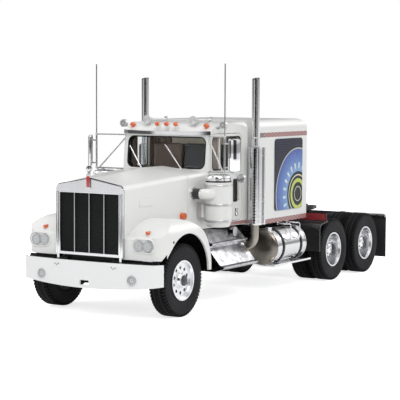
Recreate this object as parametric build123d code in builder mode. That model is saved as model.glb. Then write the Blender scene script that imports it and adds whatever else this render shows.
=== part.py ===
"""A 1:25 scale model of a long-hood tractor unit with a sleeper, in millimetres.

The frame: +Z up, the front faces -Y, +X is the driver's side, and the origin is on the
ground under the middle of the model.  Places along the model are stations, counted in
millimetres behind the front axle.
"""
from build123d import *
import math
import os

os.makedirs("parts", exist_ok=True)

# --- Driving dimensions ------------------------------------------------------------------
front_overhang = 33.8
tandem_spacing = 53.3
rear_overhang = 31.5
tyre_radius = 22.0
tyre_width = 11.2
rim_radius = 12.1
front_track = 86.0
dual_track = 73.0
dual_spacing = 13.4
fit = 0.05
seam = 0.35
skin = 1.2

frame_half_width = 17.2
rail_top = 42.0
rail_depth = 10.8
rail_flange = 3.5
rail_web = 1.3

hood_front = -27.0
hood_length = 58.5
hood_rear = hood_front + hood_length
grille_half_width = 24.3
cowl_half_width = 31.5
fender_half_width = 51.0
fender_top = 58.5
cowl_length = 22.9
cab_front = hood_rear + cowl_length
cab_length = 41.6
cab_rear = cab_front + cab_length
cab_front_half_width = 32.3
cab_rear_half_width = 37.0
cab_bottom = 48.0
roof_top = 115.0

boot_length = 7.0
sleeper_front = cab_rear + boot_length
sleeper_length = 71.5
sleeper_rear = sleeper_front + sleeper_length
sleeper_half_width = 40.0
sleeper_bottom = 46.3
sleeper_top = 115.5
sleeper_edge = 6.0

tail_length = 26.9
wheelbase = sleeper_rear + tail_length
last_axle = wheelbase + tandem_spacing
overall_length = front_overhang + last_axle + rear_overhang
front_axle_y = front_overhang - overall_length / 2


def station(behind_front_axle):
    """The row's y of a place given in millimetres behind the front axle."""
    return front_axle_y + behind_front_axle


def front_view(behind_front_axle):
    """A plane across the model: its x is +X, its y is up and its normal faces forward."""
    return Plane.XZ.offset(-station(behind_front_axle))


def side_view(x):
    """A plane along the model: its x runs rearward from the front axle and its y is up."""
    return Plane(origin=(x, front_axle_y, 0), x_dir=(0, 1, 0), z_dir=(1, 0, 0))


def top_view(z):
    """A level plane: its x is +X and its y runs rearward from the front axle."""
    return Plane(origin=(0, front_axle_y, z), x_dir=(1, 0, 0), z_dir=(0, 0, 1))


def prism(plane, outline, depth, mode=Mode.ADD):
    """Extrude a closed outline of straight sides from its plane."""
    with BuildSketch(plane) as face:
        with BuildLine():
            Polyline(*outline, close=True)
        make_face()
    extrude(face.sketch, amount=depth, mode=mode)


def bar(x_span, y_span, z_span, mode=Mode.ADD):
    """A square-edged bar between pairs of limits, its y limits given as stations."""
    with BuildSketch(top_view(z_span[0])) as face:
        with Locations((sum(x_span) / 2, sum(y_span) / 2)):
            Rectangle(x_span[1] - x_span[0], y_span[1] - y_span[0])
    extrude(face.sketch, amount=z_span[1] - z_span[0], mode=mode)


def rod(start, end, radius, mode=Mode.ADD):
    """A round rod between two points, their y given as stations."""
    a = Vector(start[0], station(start[1]), start[2])
    b = Vector(end[0], station(end[1]), end[2])
    with BuildSketch(Plane(origin=a, z_dir=b - a)) as face:
        Circle(radius)
    extrude(face.sketch, amount=(b - a).length, mode=mode)


def turned(profile, behind_front_axle, z, mode=Mode.ADD):
    """Revolve an outline of (x, radius) points about a lateral axis."""
    centre = (0, station(behind_front_axle), z)
    with BuildSketch(Plane(origin=centre, x_dir=(1, 0, 0), z_dir=(0, 0, 1))) as face:
        with BuildLine():
            Polyline(*profile, close=True)
        make_face()
    revolve(face.sketch, axis=Axis(centre, (1, 0, 0)), mode=mode)


def keep(part, name):
    """Label a finished piece and write it."""
    part.label = name
    export_step(part, f"parts/{name}.step")
    return part


# --- Chassis frame -----------------------------------------------------------------------
frame_front = -26.0
frame_rear = last_axle + rear_overhang - 6.2
rail_bottom = rail_top - rail_depth
crossmembers = (frame_front + 1.5, cab_rear - 2.0, sleeper_front + 29.0, sleeper_rear - 4.5,
                wheelbase + tandem_spacing / 2, frame_rear - 1.5)
crossmember_width = 3.0
bumper_bracket_z = (24.0, rail_bottom + 1.0)
hood_pivot = (22.7, -26.8, 33.7)
spring_ends = (-22.0, 25.0)
pivot_radius = 1.3

with BuildPart() as chassis_frame:
    for side in (-1, 1):
        outer = side * frame_half_width
        inner = side * (frame_half_width - rail_web)
        lip = side * (frame_half_width - rail_flange)
        channel = [(outer, rail_bottom), (outer, rail_top), (lip, rail_top),
                   (lip, rail_top - rail_web), (inner, rail_top - rail_web),
                   (inner, rail_bottom + rail_web), (lip, rail_bottom + rail_web),
                   (lip, rail_bottom)]
        prism(front_view(frame_front), channel, frame_front - frame_rear)
        bar((min(outer, lip), max(outer, lip)), (frame_front, spring_ends[0] - 0.5), bumper_bracket_z)
        rod((outer - side * 1.0, hood_pivot[1], hood_pivot[2]),
            (side * (hood_pivot[0] + 1.0), hood_pivot[1], hood_pivot[2]), pivot_radius)
    for place in crossmembers:
        bar((-inner, inner) if inner > 0 else (inner, -inner),
            (place - crossmember_width / 2, place + crossmember_width / 2),
            (rail_bottom + 1.5, rail_top - 1.5))
keep(chassis_frame.part, "chassis_frame")

# --- Bumper and its lamps ----------------------------------------------------------------
bumper_top = 33.7
bumper_thick = 1.2
bumper_knee = (46.7, -30.2)
bumper_end = (50.4, -24.6)
bumper_bow = (0.0, -front_overhang)
bumper_low_middle = 17.7
bumper_low_end = 20.6
bumper_lamp = (32.8, 24.2, 2.5)
tow_slot = (3.3, 19.6, 22.4)


def bumper_plan(inset):
    """One face of the bumper in plan, from the right end to the left end."""
    knee = (bumper_knee[0] - inset * 0.8, bumper_knee[1] + inset)
    end = (bumper_end[0] - inset, bumper_end[1])
    middle = (0.0, bumper_bow[1] + inset)
    return [Line((-end[0], end[1]), (-knee[0], knee[1])),
            ThreePointArc((-knee[0], knee[1]), middle, knee),
            Line(knee, end)]


with BuildPart() as front_bumper:
    with BuildSketch(top_view(bumper_low_middle)):
        with BuildLine():
            bumper_plan(0)
            bumper_plan(bumper_thick)
            for side in (-1, 1):
                Line((side * bumper_end[0], bumper_end[1]),
                     (side * (bumper_end[0] - bumper_thick), bumper_end[1]))
        make_face()
    extrude(amount=bumper_top - bumper_low_middle)
    knee_edges = front_bumper.edges().filter_by(Axis.Z).filter_by_position(
        Axis.Y, station(bumper_knee[1] - 0.1), station(bumper_knee[1] + bumper_thick + 0.1))
    fillet(knee_edges.filter_by(lambda e: abs(e.center().Y - station(bumper_knee[1])) < 0.2), 2.6)
    with BuildSketch(front_view(-50.0)):
        with BuildLine():
            ThreePointArc((-60, bumper_low_end + 1.6), (0, bumper_low_middle), (60, bumper_low_end + 1.6))
            Polyline((60, bumper_low_end + 1.6), (60, 0), (-60, 0), (-60, bumper_low_end + 1.6))
        make_face()
    extrude(amount=-50.0, mode=Mode.SUBTRACT)
    bar((-tow_slot[0], tow_slot[0]), (-40, -20), tow_slot[1:], mode=Mode.SUBTRACT)
    for side in (-1, 1):
        rod((side * bumper_lamp[0], -40, bumper_lamp[1]), (side * bumper_lamp[0], -20, bumper_lamp[1]),
            bumper_lamp[2], mode=Mode.SUBTRACT)
        bracket_x = sorted((side * (frame_half_width - rail_flange), side * frame_half_width))
        bar(bracket_x, (bumper_bow[1] + bumper_thick / 2, frame_front), bumper_bracket_z)
keep(front_bumper.part, "front_bumper")

with BuildPart() as bumper_lamps:
    for side in (-1, 1):
        lamp_x = side * bumper_lamp[0]
        rod((lamp_x, bumper_bow[1] + 1.9, bumper_lamp[1]), (lamp_x, bumper_bow[1] + 4.8, bumper_lamp[1]),
            bumper_lamp[2] - fit)
keep(bumper_lamps.part, "bumper_lamps")

# --- Front axle with its springs, knuckles and tie rod -----------------------------------
kingpin_x = 34.0
kingpin_radius = 1.3
knuckle_eye_radius = 2.8
beam_height = 4.0
beam_low = 16.5
beam_depth = 3.6
spring_x = 15.5
spring_width = 3.0
spring_thick = 2.4
axle_z = tyre_radius
ear_thick = 1.8
ear_gap = 0.4
spindle_radius = 2.0
arm_length = 9.5
arm_thick = 1.6
tie_rod_radius = 0.9

with BuildPart() as front_axle:
    bar((-28.0, 28.0), (-beam_depth / 2, beam_depth / 2), (beam_low, beam_low + beam_height))
    for side in (-1, 1):
        eye = side * kingpin_x
        rod((eye, 0, axle_z - 3.0), (eye, 0, axle_z + 3.0), knuckle_eye_radius)
        prism(front_view(-beam_depth / 2),
              [(side * 24, beam_low), (side * 30, axle_z - 3.0), (eye, axle_z - 3.0), (eye, axle_z + 3.0),
               (side * 28, beam_low + beam_height)], -beam_depth)
        rod((eye, 0, axle_z - 4.0), (eye, 0, axle_z + 4.0), kingpin_radius + fit, mode=Mode.SUBTRACT)
        lows = (spring_x - spring_width / 2, spring_x + spring_width / 2)
        spring_span = sorted((side * lows[0], side * lows[1]))
        with BuildSketch(side_view(spring_span[0])) as leaf_pack:
            with BuildLine():
                ThreePointArc((spring_ends[0], rail_bottom - spring_thick), (0, beam_low + beam_height),
                              (spring_ends[1], rail_bottom - spring_thick))
                Line((spring_ends[1], rail_bottom - spring_thick), (spring_ends[1], rail_bottom))
                ThreePointArc((spring_ends[1], rail_bottom), (0, beam_low + beam_height + spring_thick),
                              (spring_ends[0], rail_bottom))
                Line((spring_ends[0], rail_bottom), (spring_ends[0], rail_bottom - spring_thick))
            make_face()
        extrude(leaf_pack.sketch, amount=spring_width)
        bar(spring_span, (-2.6, 2.6), (beam_low + 1.0, beam_low + beam_height + spring_thick + 0.8))
keep(front_axle.part, "front_axle")

eye_low = axle_z - 3.0 - ear_gap
eye_high = axle_z + 3.0 + ear_gap
arm_z = eye_low - ear_thick
arm_pin_radius = 0.8
arm_eye_radius = 1.7

with BuildPart() as knuckle_left:
    for ear_z in (eye_low - ear_thick, eye_high):
        rod((kingpin_x, 0, ear_z), (kingpin_x, 0, ear_z + ear_thick), knuckle_eye_radius)
        bar((kingpin_x, kingpin_x + 4.6), (-2.2, 2.2), (ear_z, ear_z + ear_thick))
    rod((kingpin_x, 0, eye_low - 0.1), (kingpin_x, 0, eye_high + 0.1), kingpin_radius)
    bar((kingpin_x + 3.4, kingpin_x + 5.2), (-2.6, 2.6), (eye_low - ear_thick, eye_high + ear_thick))
    rod((kingpin_x + 5.0, 0, axle_z), (kingpin_x + 11.0, 0, axle_z), spindle_radius)
    bar((kingpin_x - arm_eye_radius + 0.5, kingpin_x + arm_eye_radius - 0.5), (0, arm_length),
        (arm_z, arm_z + arm_thick))
    rod((kingpin_x, arm_length, arm_z), (kingpin_x, arm_length, arm_z + arm_thick), arm_eye_radius)
    rod((kingpin_x, arm_length, arm_z - 2.2), (kingpin_x, arm_length, arm_z + 0.1), arm_pin_radius)
keep(knuckle_left.part, "knuckle_left")
knuckle_right = mirror(knuckle_left.part, about=Plane.YZ)
keep(knuckle_right, "knuckle_right")

with BuildPart() as tie_rod:
    rod_z = arm_z - 1.2
    rod((-kingpin_x + 1.2, arm_length, rod_z), (kingpin_x - 1.2, arm_length, rod_z), tie_rod_radius)
    for side in (-1, 1):
        pin_x = side * kingpin_x
        rod((pin_x, arm_length, rod_z - 1.0), (pin_x, arm_length, rod_z + 1.0), arm_eye_radius)
        rod((pin_x, arm_length, rod_z - 2.0), (pin_x, arm_length, rod_z + 2.0), arm_pin_radius + fit,
            mode=Mode.SUBTRACT)
keep(tie_rod.part, "tie_rod")

# --- Wheels ------------------------------------------------------------------------------
shoulder_drop = 1.3
sidewall_radius = 17.5
barrel_radius = 10.7
hand_hole_radius = 1.05
hand_hole_circle = 7.6
hand_holes = 10
disc_thick = 1.2
front_disc_inset = 2.4
hub_radius = 3.4
drive_spindle_radius = 2.4
front_wheel_x = front_track / 2
dual_x = dual_track / 2


def tyre_outline(centre_x):
    """Half section of a tyre as (x, radius) points, from one bead to the other."""
    half = tyre_width / 2
    bead = rim_radius + fit
    right = [(0.80 * half, bead), (0.94 * half, bead + 1.6), (half, sidewall_radius),
             (0.95 * half, tyre_radius - shoulder_drop), (0.82 * half, tyre_radius)]
    left = [(-x, r) for x, r in reversed(right)]
    return [(centre_x + x, r) for x, r in right + left]


def rim_outline(out, inner, disc_x, bore_depth, bore_radius, hub_end):
    """Section of a rim as (x, radius) points; the disc stands at disc_x, its hub reaches hub_end."""
    turn = 1 if out > inner else -1
    back = disc_x - turn * disc_thick
    return [(out, rim_radius), (out, rim_radius - 0.9), (out - turn * 1.6, barrel_radius),
            (disc_x, barrel_radius), (disc_x, hub_radius + 1.0), (disc_x + turn * 0.8, hub_radius),
            (hub_end, hub_radius), (hub_end, 0), (bore_depth, 0), (bore_depth, bore_radius),
            (back - turn * 1.5, bore_radius), (back - turn * 1.5, hub_radius), (back, hub_radius + 1.0),
            (back, barrel_radius), (inner, barrel_radius), (inner, rim_radius)]


def pierce(side, behind_front_axle, low_x, high_x):
    """Cut the ring of round hand holes through a wheel disc."""
    for index in range(hand_holes):
        angle = math.radians(360 / hand_holes * (index + 0.5))
        y = behind_front_axle + hand_hole_circle * math.cos(angle)
        z = axle_z + hand_hole_circle * math.sin(angle)
        rod((side * low_x, y, z), (side * high_x, y, z), hand_hole_radius, mode=Mode.SUBTRACT)


for side, hand in ((1, "left"), (-1, "right")):
    with BuildPart() as front_tyre:
        turned(tyre_outline(side * front_wheel_x), 0, axle_z)
    keep(front_tyre.part, f"front_tyre_{hand}")
    edge = front_wheel_x + tyre_width / 2
    with BuildPart() as front_rim:
        turned([(side * x, r) for x, r in
                rim_outline(edge - 0.2, edge - tyre_width + 0.6, edge - front_disc_inset,
                            kingpin_x + 11.3, spindle_radius + fit, edge + 0.3)], 0, axle_z)
        pierce(side, 0, kingpin_x + 8, edge + 2)
    keep(front_rim.part, f"front_rim_{hand}")

drive_stations = ((1, wheelbase), (2, last_axle))
for number, place in drive_stations:
    for side, hand in ((1, "left"), (-1, "right")):
        with BuildPart() as dual_tyres:
            for offset in (-dual_spacing / 2, dual_spacing / 2):
                turned(tyre_outline(side * (dual_x + offset)), place, axle_z)
        keep(dual_tyres.part, f"drive_tyres_{number}_{hand}")
        out = dual_x + dual_spacing / 2 + tyre_width / 2 - 0.4
        inner = dual_x - dual_spacing / 2 - tyre_width / 2 + 0.4
        with BuildPart() as dual_rim:
            turned([(side * x, r) for x, r in
                    rim_outline(out, inner, dual_x + disc_thick / 2, dual_x + 2.4,
                                drive_spindle_radius + fit, out - 3.6)], place, axle_z)
            pierce(side, place, dual_x - 3, dual_x + 3)
        keep(dual_rim.part, f"drive_rims_{number}_{hand}")

# --- Drive axles, beams and shafts -------------------------------------------------------
housing_radius = 3.0
banjo_radius = 7.6
banjo_width = 10.0
equaliser_z = (24.8, 27.8)
shaft_radius = 1.3
gearbox = (6.0, (38.0, 70.0), (30.0, 45.0))

with BuildPart() as drive_axles:
    for number, place in drive_stations:
        rod((-dual_x + 5.0, place, axle_z), (dual_x - 5.0, place, axle_z), housing_radius)
        rod((-dual_x - 2.0, place, axle_z), (dual_x + 2.0, place, axle_z), drive_spindle_radius)
        rod((-banjo_width / 2, place, axle_z), (banjo_width / 2, place, axle_z), banjo_radius)
        rod((0, place - 10.5, axle_z + 1.5), (0, place, axle_z + 1.5), 3.4)
    middle = wheelbase + tandem_spacing / 2
    for side in (-1, 1):
        beam_x = sorted((side * (frame_half_width - rail_flange), side * frame_half_width))
        prism(side_view(beam_x[0]),
              [(wheelbase - 5, equaliser_z[0] - 2), (middle, equaliser_z[0] - 4),
               (last_axle + 5, equaliser_z[0] - 2), (last_axle + 5, equaliser_z[1]),
               (middle + 6, rail_bottom), (middle - 6, rail_bottom), (wheelbase - 5, equaliser_z[1])],
              beam_x[1] - beam_x[0])
    rod((0, gearbox[1][1] + 0.3, 33.0), (0, wheelbase - 10.0, axle_z + 1.5), shaft_radius)
    rod((0, wheelbase, axle_z + 2.5), (0, last_axle - 9.0, axle_z + 1.5), shaft_radius)
keep(drive_axles.part, "drive_axles")

# --- Engine, gearbox and radiator --------------------------------------------------------
engine_size = (18.0, (-12.0, 30.5), (32.0, 62.0))
radiator_size = (20.0, (-23.0, -19.0), (rail_top, 74.0))

with BuildPart() as engine:
    bar((-engine_size[0] / 2, engine_size[0] / 2), engine_size[1], engine_size[2])
    bar((-gearbox[0], gearbox[0]), (engine_size[1][1] - 1, gearbox[1][1]), gearbox[2])
    bar((-frame_half_width + rail_flange, frame_half_width - rail_flange), (-4, 0), (34.0, 38.0))
keep(engine.part, "engine")

with BuildPart() as radiator:
    bar((-radiator_size[0], radiator_size[0]), radiator_size[1], radiator_size[2])
    rod((0, radiator_size[1][1] - 0.5, 55.0), (0, engine_size[1][0], 55.0), 1.8)
keep(radiator.part, "radiator")

# --- Hood with its fenders ---------------------------------------------------------------
hood_front_half = 23.9
shoulder_front = 78.2
peak_front = 82.4
shoulder_rear = 82.6
peak_rear = 86.4
shoulder_round = 2.6
hood_low = 35.6


def crown_outline(half, shoulder, peak, low, inset):
    """Corners of a hood section: straight sides, rounded shoulders and a creased top."""
    half -= inset
    shoulder -= inset
    peak -= inset
    slope = math.atan2(peak - shoulder, half)
    cut = shoulder_round
    return {"foot": (half, low), "side": (half, shoulder - cut),
            "bend": (half - cut * 0.30, shoulder - cut * 0.28),
            "top": (half - cut * math.cos(slope), shoulder + cut * math.sin(slope)), "peak": (0, peak)}


def crown_face(behind_front_axle, half, shoulder, peak, low, inset=0.0):
    """A hood section across the model."""
    c = crown_outline(half, shoulder, peak, low, inset)
    with BuildSketch(front_view(behind_front_axle)) as face:
        with BuildLine():
            Line(c["foot"], c["side"])
            ThreePointArc(c["side"], c["bend"], c["top"])
            Line(c["top"], c["peak"])
            mirror(about=Plane.YZ)
            Line((-c["foot"][0], low), c["foot"])
        make_face()
    return face.sketch


def crown_body(inset, from_station, to_station, low):
    """The long body of the hood, or its hollow when inset by the skin."""
    share = (to_station - hood_front) / (hood_rear - hood_front)
    start = (from_station - hood_front) / (hood_rear - hood_front)

    def blend(front, rear, part):
        return front + (rear - front) * part

    faces = []
    for place, part in ((from_station, start), (to_station, share)):
        faces.append(crown_face(place, blend(hood_front_half, cowl_half_width, part),
                                blend(shoulder_front, shoulder_rear, part),
                                blend(peak_front, peak_rear, part), low, inset))
    with BuildPart() as body:
        loft(sections=faces)
    return body.part


arch_centre = (1.2, 26.5)
arch_radius = 23.7
well_radius = 26.7
crown_centre = (-1.6, fender_top - 29.5)
crown_radius = 29.5
pod_front = -26.9
pod_top = 49.4
fender_rear_low = 26.0
fender_inner = 22.0
fender_shoulder = 10.0


def fender_body(inset):
    """The left fender with its headlamp pod, or its hollow when inset by the skin."""
    radius = crown_radius - inset
    front = pod_front + inset
    side_x = fender_half_width - inset
    top = fender_top - inset
    rear = crown_centre[0] + radius
    low = hood_low if inset == 0 else hood_low - 12.0
    low_rear = fender_rear_low if inset == 0 else fender_rear_low - 8.0
    meet_z = pod_top - inset
    meet_y = crown_centre[0] - math.sqrt(radius ** 2 - (meet_z - crown_centre[1]) ** 2)
    with BuildPart() as body:
        with BuildSketch(side_view(fender_inner)):
            with BuildLine():
                Polyline((meet_y, meet_z), (front + 1.4, meet_z), (front, meet_z - 1.6), (front, low),
                         (-16.0, low), (-16.0, low_rear), (rear, low_rear), (rear, crown_centre[1]))
                ThreePointArc((rear, crown_centre[1]), (crown_centre[0], top), (meet_y, meet_z))
            make_face()
        extrude(amount=side_x - fender_inner)
        with BuildSketch(front_view(-60.0)):
            with BuildLine():
                bend = fender_shoulder - inset
                Polyline((side_x, top - bend), (side_x, 0), (fender_inner, 0), (fender_inner, top),
                         (side_x - bend, top))
                ThreePointArc((side_x - bend, top), (side_x - 0.293 * bend, top - 0.293 * bend),
                              (side_x, top - bend))
            make_face()
        extrude(amount=-120.0, mode=Mode.INTERSECT)
        with BuildSketch(top_view(0)):
            with BuildLine():
                Polyline((fender_inner, pod_front + inset - 0.6), (41.0, pod_front + inset + 0.4))
                ThreePointArc((41.0, pod_front + inset + 0.4), (47.8 - inset * 0.7, -23.0 + inset * 0.7),
                              (side_x, -16.5))
                Polyline((side_x, -16.5), (side_x, 40), (fender_inner, 40),
                         (fender_inner, pod_front + inset - 0.6))
            make_face()
        extrude(amount=90.0, mode=Mode.INTERSECT)
    return body.part


hood_outer = crown_body(0, hood_front, hood_rear, hood_low)
hood_hollow = crown_body(skin, hood_front - 2, hood_rear + 2, hood_low - 5)
left_fender = fender_body(0)
left_hollow = fender_body(skin)
with BuildPart() as hood_shell:
    add(hood_outer)
    for fender in (left_fender, mirror(left_fender, about=Plane.YZ)):
        add(fender)
    hood_solid = hood_shell.part
    for hollow in (left_hollow, mirror(left_hollow, about=Plane.YZ)):
        add(hollow, mode=Mode.SUBTRACT)
    add(hood_hollow, mode=Mode.SUBTRACT)
    for side in (-1, 1):
        rod((side * 20.0, 0, axle_z), (side * (fender_half_width - skin), 0, axle_z), well_radius,
            mode=Mode.SUBTRACT)
        rod((side * (fender_half_width - 4), arch_centre[0], arch_centre[1]),
            (side * (fender_half_width + 4), arch_centre[0], arch_centre[1]), arch_radius,
            mode=Mode.SUBTRACT)
    bar((-60, 60), (-12.0, 20.0), (0, fender_rear_low + 0.2), mode=Mode.SUBTRACT)
    bar((-60, 60), (-29.0, -15.9), (0, hood_low), mode=Mode.SUBTRACT)
keep(hood_shell.part, "hood_shell")

# --- Grille, radiator louvres and headlamps ----------------------------------------------
grille_opening = (21.5, 38.1, 73.9)
grille_low = 36.6
grille_deep = 1.8
grille_face = hood_front - grille_deep
louvre_count = 26
louvre_depth = 0.5
grille_bar = 0.7
rail_foot = (1.6, 1.8)
ornament = (0.0, 84.2, 90.5)

with BuildPart() as grille_surround:
    crown = crown_face(hood_front, grille_half_width, shoulder_front + 0.5, peak_front + 0.5, grille_low)
    extrude(crown, amount=grille_deep)
    bar((-grille_opening[0], grille_opening[0]), (hood_front - 5, hood_front + 5), grille_opening[1:],
        mode=Mode.SUBTRACT)
    for index in (-1, 0, 1):
        bar_x = index * grille_opening[0] / 2
        bar((bar_x - grille_bar / 2, bar_x + grille_bar / 2), (grille_face + 0.2, grille_face + 1.0),
            (grille_opening[1] - 0.5, grille_opening[2] + 0.5))
    for side in (-1, 1):
        foot_x = side * hood_pivot[0]
        bar((foot_x - rail_foot[0] / 2, foot_x + rail_foot[0] / 2), (grille_face, hood_front),
            (hood_pivot[2], grille_low + 1))
        rod((foot_x - rail_foot[0] / 2, hood_pivot[1], hood_pivot[2]),
            (foot_x + rail_foot[0] / 2, hood_pivot[1], hood_pivot[2]), rail_foot[1])
        rod((foot_x - 5, hood_pivot[1], hood_pivot[2]), (foot_x + 5, hood_pivot[1], hood_pivot[2]),
            pivot_radius + fit, mode=Mode.SUBTRACT)
    bar((-1.3, 1.3), (grille_face - 0.8, grille_face + 0.4), (77.0, 85.2))
    rod((0, grille_face + 0.3, 84.0), (0, grille_face + 0.3, 86.8), 1.0)
    with Locations((0, station(grille_face + 0.3), 88.2)):
        Sphere(1.9)
keep(grille_surround.part, "grille_surround")

with BuildPart() as grille_core:
    core_y = (hood_front - 0.6, hood_front - 0.1)
    core_z = (grille_opening[1] + fit, grille_opening[2] - fit)
    bar((-grille_opening[0] + fit, grille_opening[0] - fit), core_y, core_z)
    pitch = (core_z[1] - core_z[0]) / louvre_count
    for index in range(louvre_count):
        low = core_z[0] + pitch * (index + 0.25)
        bar((-grille_opening[0] + 2 * fit, grille_opening[0] - 2 * fit),
            (core_y[0] - louvre_depth + 0.3, core_y[0]), (low, low + pitch * 0.5))
keep(grille_core.part, "grille_core")

headlamps = ((34.4, 44.3), (40.6, 44.2))
headlamp_radius = 2.75
headlamp_front = -27.6
pod_lamp = (37.5, 51.6, 1.0)
side_lamp = (57.6, hood_rear - 5.5, 2.1)

with BuildPart() as headlamp_set:
    for side in (-1, 1):
        for lamp_x, lamp_z in headlamps:
            rod((side * lamp_x, headlamp_front, lamp_z), (side * lamp_x, pod_front + 2.0, lamp_z),
                headlamp_radius)
    add(hood_solid, mode=Mode.SUBTRACT)
keep(headlamp_set.part, "headlamps")

with BuildPart() as hood_lamps:
    for side in (-1, 1):
        lamp_y = crown_centre[0] - 19.8
        rod((side * pod_lamp[0], lamp_y - 1.6, pod_lamp[1]), (side * pod_lamp[0], lamp_y + 1.6, pod_lamp[1]),
            pod_lamp[2])
        rod((side * (cowl_half_width - 1.5), side_lamp[1], side_lamp[0]),
            (side * (cowl_half_width + 1.7), side_lamp[1], side_lamp[0]), side_lamp[2])
    add(hood_solid, mode=Mode.SUBTRACT)
    add(hood_hollow, mode=Mode.SUBTRACT)
keep(hood_lamps.part, "hood_lamps")

# --- Cab: cowl, cabin and floor ----------------------------------------------------------
cowl_front = hood_rear + seam
windshield_base = 85.2
windshield_head = 105.2
windshield_rake = 2.9
windshield_half = 29.4
windshield_corner = 4.0
cab_edge = 5.0
roof_front = (cab_front + 2.2, 108.4)
roof_brow = (cab_front + 6.1, 111.6)
roof_mid = (cab_front + 17.6, 113.6)
wall = 1.4
flare = math.atan2(cab_rear_half_width - cab_front_half_width, cab_rear - cab_front)


def cab_half_width(behind_front_axle):
    """Half width of the cab, which grows steadily towards its rear."""
    return cab_front_half_width + (behind_front_axle - cab_front) * math.tan(flare)


def cab_body(inset, low):
    """The cab with its cowl, or its hollow when inset by the wall."""
    front = cab_front + inset
    rear = cab_rear - inset
    base_y = front + 0.3
    with BuildPart() as body:
        with BuildSketch(top_view(low)):
            with BuildLine():
                Polyline((-cab_half_width(front) + inset, front), (cab_half_width(front) - inset, front),
                         (cab_half_width(rear) - inset, rear), (-cab_half_width(rear) + inset, rear),
                         close=True)
            make_face()
        extrude(amount=roof_top - low)
        with BuildSketch(side_view(-60.0)):
            with BuildLine():
                Polyline((rear, roof_top - inset), (rear, low), (front, low), (front, windshield_base - 1),
                         (front + windshield_rake - 0.5, roof_front[1] - inset - 1.0),
                         (roof_front[0] + inset, roof_front[1] - inset))
                ThreePointArc((roof_front[0] + inset, roof_front[1] - inset),
                              (roof_brow[0] + inset * 0.7, roof_brow[1] - inset * 0.8),
                              (roof_mid[0], roof_mid[1] - inset))
                Line((roof_mid[0], roof_mid[1] - inset), (rear, roof_top - inset))
            make_face()
        extrude(amount=120.0, mode=Mode.INTERSECT)
        with BuildSketch(front_view(20.0)):
            with BuildLine():
                half = cab_rear_half_width - inset
                high = roof_top - inset
                Polyline((half, high - cab_edge), (half, 0), (-half, 0), (-half, high - cab_edge))
                ThreePointArc((-half, high - cab_edge), (-half + 0.293 * cab_edge, high - 0.293 * cab_edge),
                              (-half + cab_edge, high))
                Line((-half + cab_edge, high), (half - cab_edge, high))
                ThreePointArc((half - cab_edge, high), (half - 0.293 * cab_edge, high - 0.293 * cab_edge),
                              (half, high - cab_edge))
            make_face()
        extrude(amount=-120.0, mode=Mode.INTERSECT)
    return body.part


cowl_face = crown_face(cowl_front, cowl_half_width, shoulder_rear, peak_rear, cab_bottom)
cowl_back = crown_face(cab_front + 1.0, cab_half_width(cab_front + 1.0), shoulder_rear + 1.0,
                       peak_rear + 0.2, cab_bottom)
cowl_inner = (crown_face(cowl_front + wall, cowl_half_width - wall, shoulder_rear - wall, peak_rear - wall,
                         cab_bottom - 1.0),
              crown_face(cab_front + 2.0, cab_front_half_width - wall, shoulder_rear - wall,
                         peak_rear - wall, cab_bottom - 1.0))
cab_solid = cab_body(0, cab_bottom)
cab_hollow = cab_body(wall, cab_bottom - 1)
with BuildPart() as cab_outer_part:
    add(cab_solid)
    loft(sections=[cowl_face, cowl_back])
cab_outer = cab_outer_part.part

wall_plane = Plane(origin=(cab_front_half_width, station(cab_front), 0),
                   x_dir=(math.sin(flare), math.cos(flare), 0),
                   z_dir=(math.cos(flare), -math.sin(flare), 0))
door_span = (3.0, 35.4)
door_low = 51.2
door_high = 107.2
door_corner = 3.5
window_span = (4.2, 34.4)
window_low = 84.2
window_high = 105.4
peep_span = (26.4, 32.8)
peep_z = (63.0, 78.0)
glass_thick = 0.7
passage = (22.0, 56.0, 104.0)


def door_block(grow, depth_out, depth_in):
    """The door's outline on the cab side, grown by a margin, between two depths."""
    with BuildSketch(wall_plane.offset(depth_out)) as face:
        with Locations(((door_span[0] + door_span[1]) / 2, (door_low + door_high) / 2)):
            RectangleRounded(door_span[1] - door_span[0] + 2 * grow, door_high - door_low + 2 * grow,
                             door_corner + grow)
    return extrude(face.sketch, amount=-(depth_out + depth_in), mode=Mode.PRIVATE)


def pane(u_span, z_span, corner, depth_out, depth_in):
    """A rounded rectangle on the cab side between two depths."""
    with BuildSketch(wall_plane.offset(depth_out)) as face:
        with Locations(((u_span[0] + u_span[1]) / 2, (z_span[0] + z_span[1]) / 2)):
            RectangleRounded(u_span[1] - u_span[0], z_span[1] - z_span[0], corner)
    return extrude(face.sketch, amount=-(depth_out + depth_in), mode=Mode.PRIVATE)


doorway = door_block(seam, 2.0, 4.0)
with BuildPart() as cab_shell:
    add(cab_outer)
    add(cab_hollow, mode=Mode.SUBTRACT)
    loft(sections=cowl_inner, mode=Mode.SUBTRACT)
    bar((-cab_front_half_width + 2 * wall, cab_front_half_width - 2 * wall), (cab_front - 1, cab_front + 4),
        (cab_bottom - 1, windshield_base - 4.0), mode=Mode.SUBTRACT)
    for opening in (doorway, mirror(doorway, about=Plane.YZ)):
        add(opening, mode=Mode.SUBTRACT)
    with BuildSketch(front_view(cab_front - 3)) as screen:
        with Locations((0, (windshield_base + windshield_head) / 2)):
            RectangleRounded(2 * windshield_half, windshield_head - windshield_base, windshield_corner)
    extrude(screen.sketch, amount=-9.0, mode=Mode.SUBTRACT)
    bar((-passage[0], passage[0]), (cab_rear - 3, cab_rear + 3), passage[1:], mode=Mode.SUBTRACT)
keep(cab_shell.part, "cab_shell")

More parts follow.
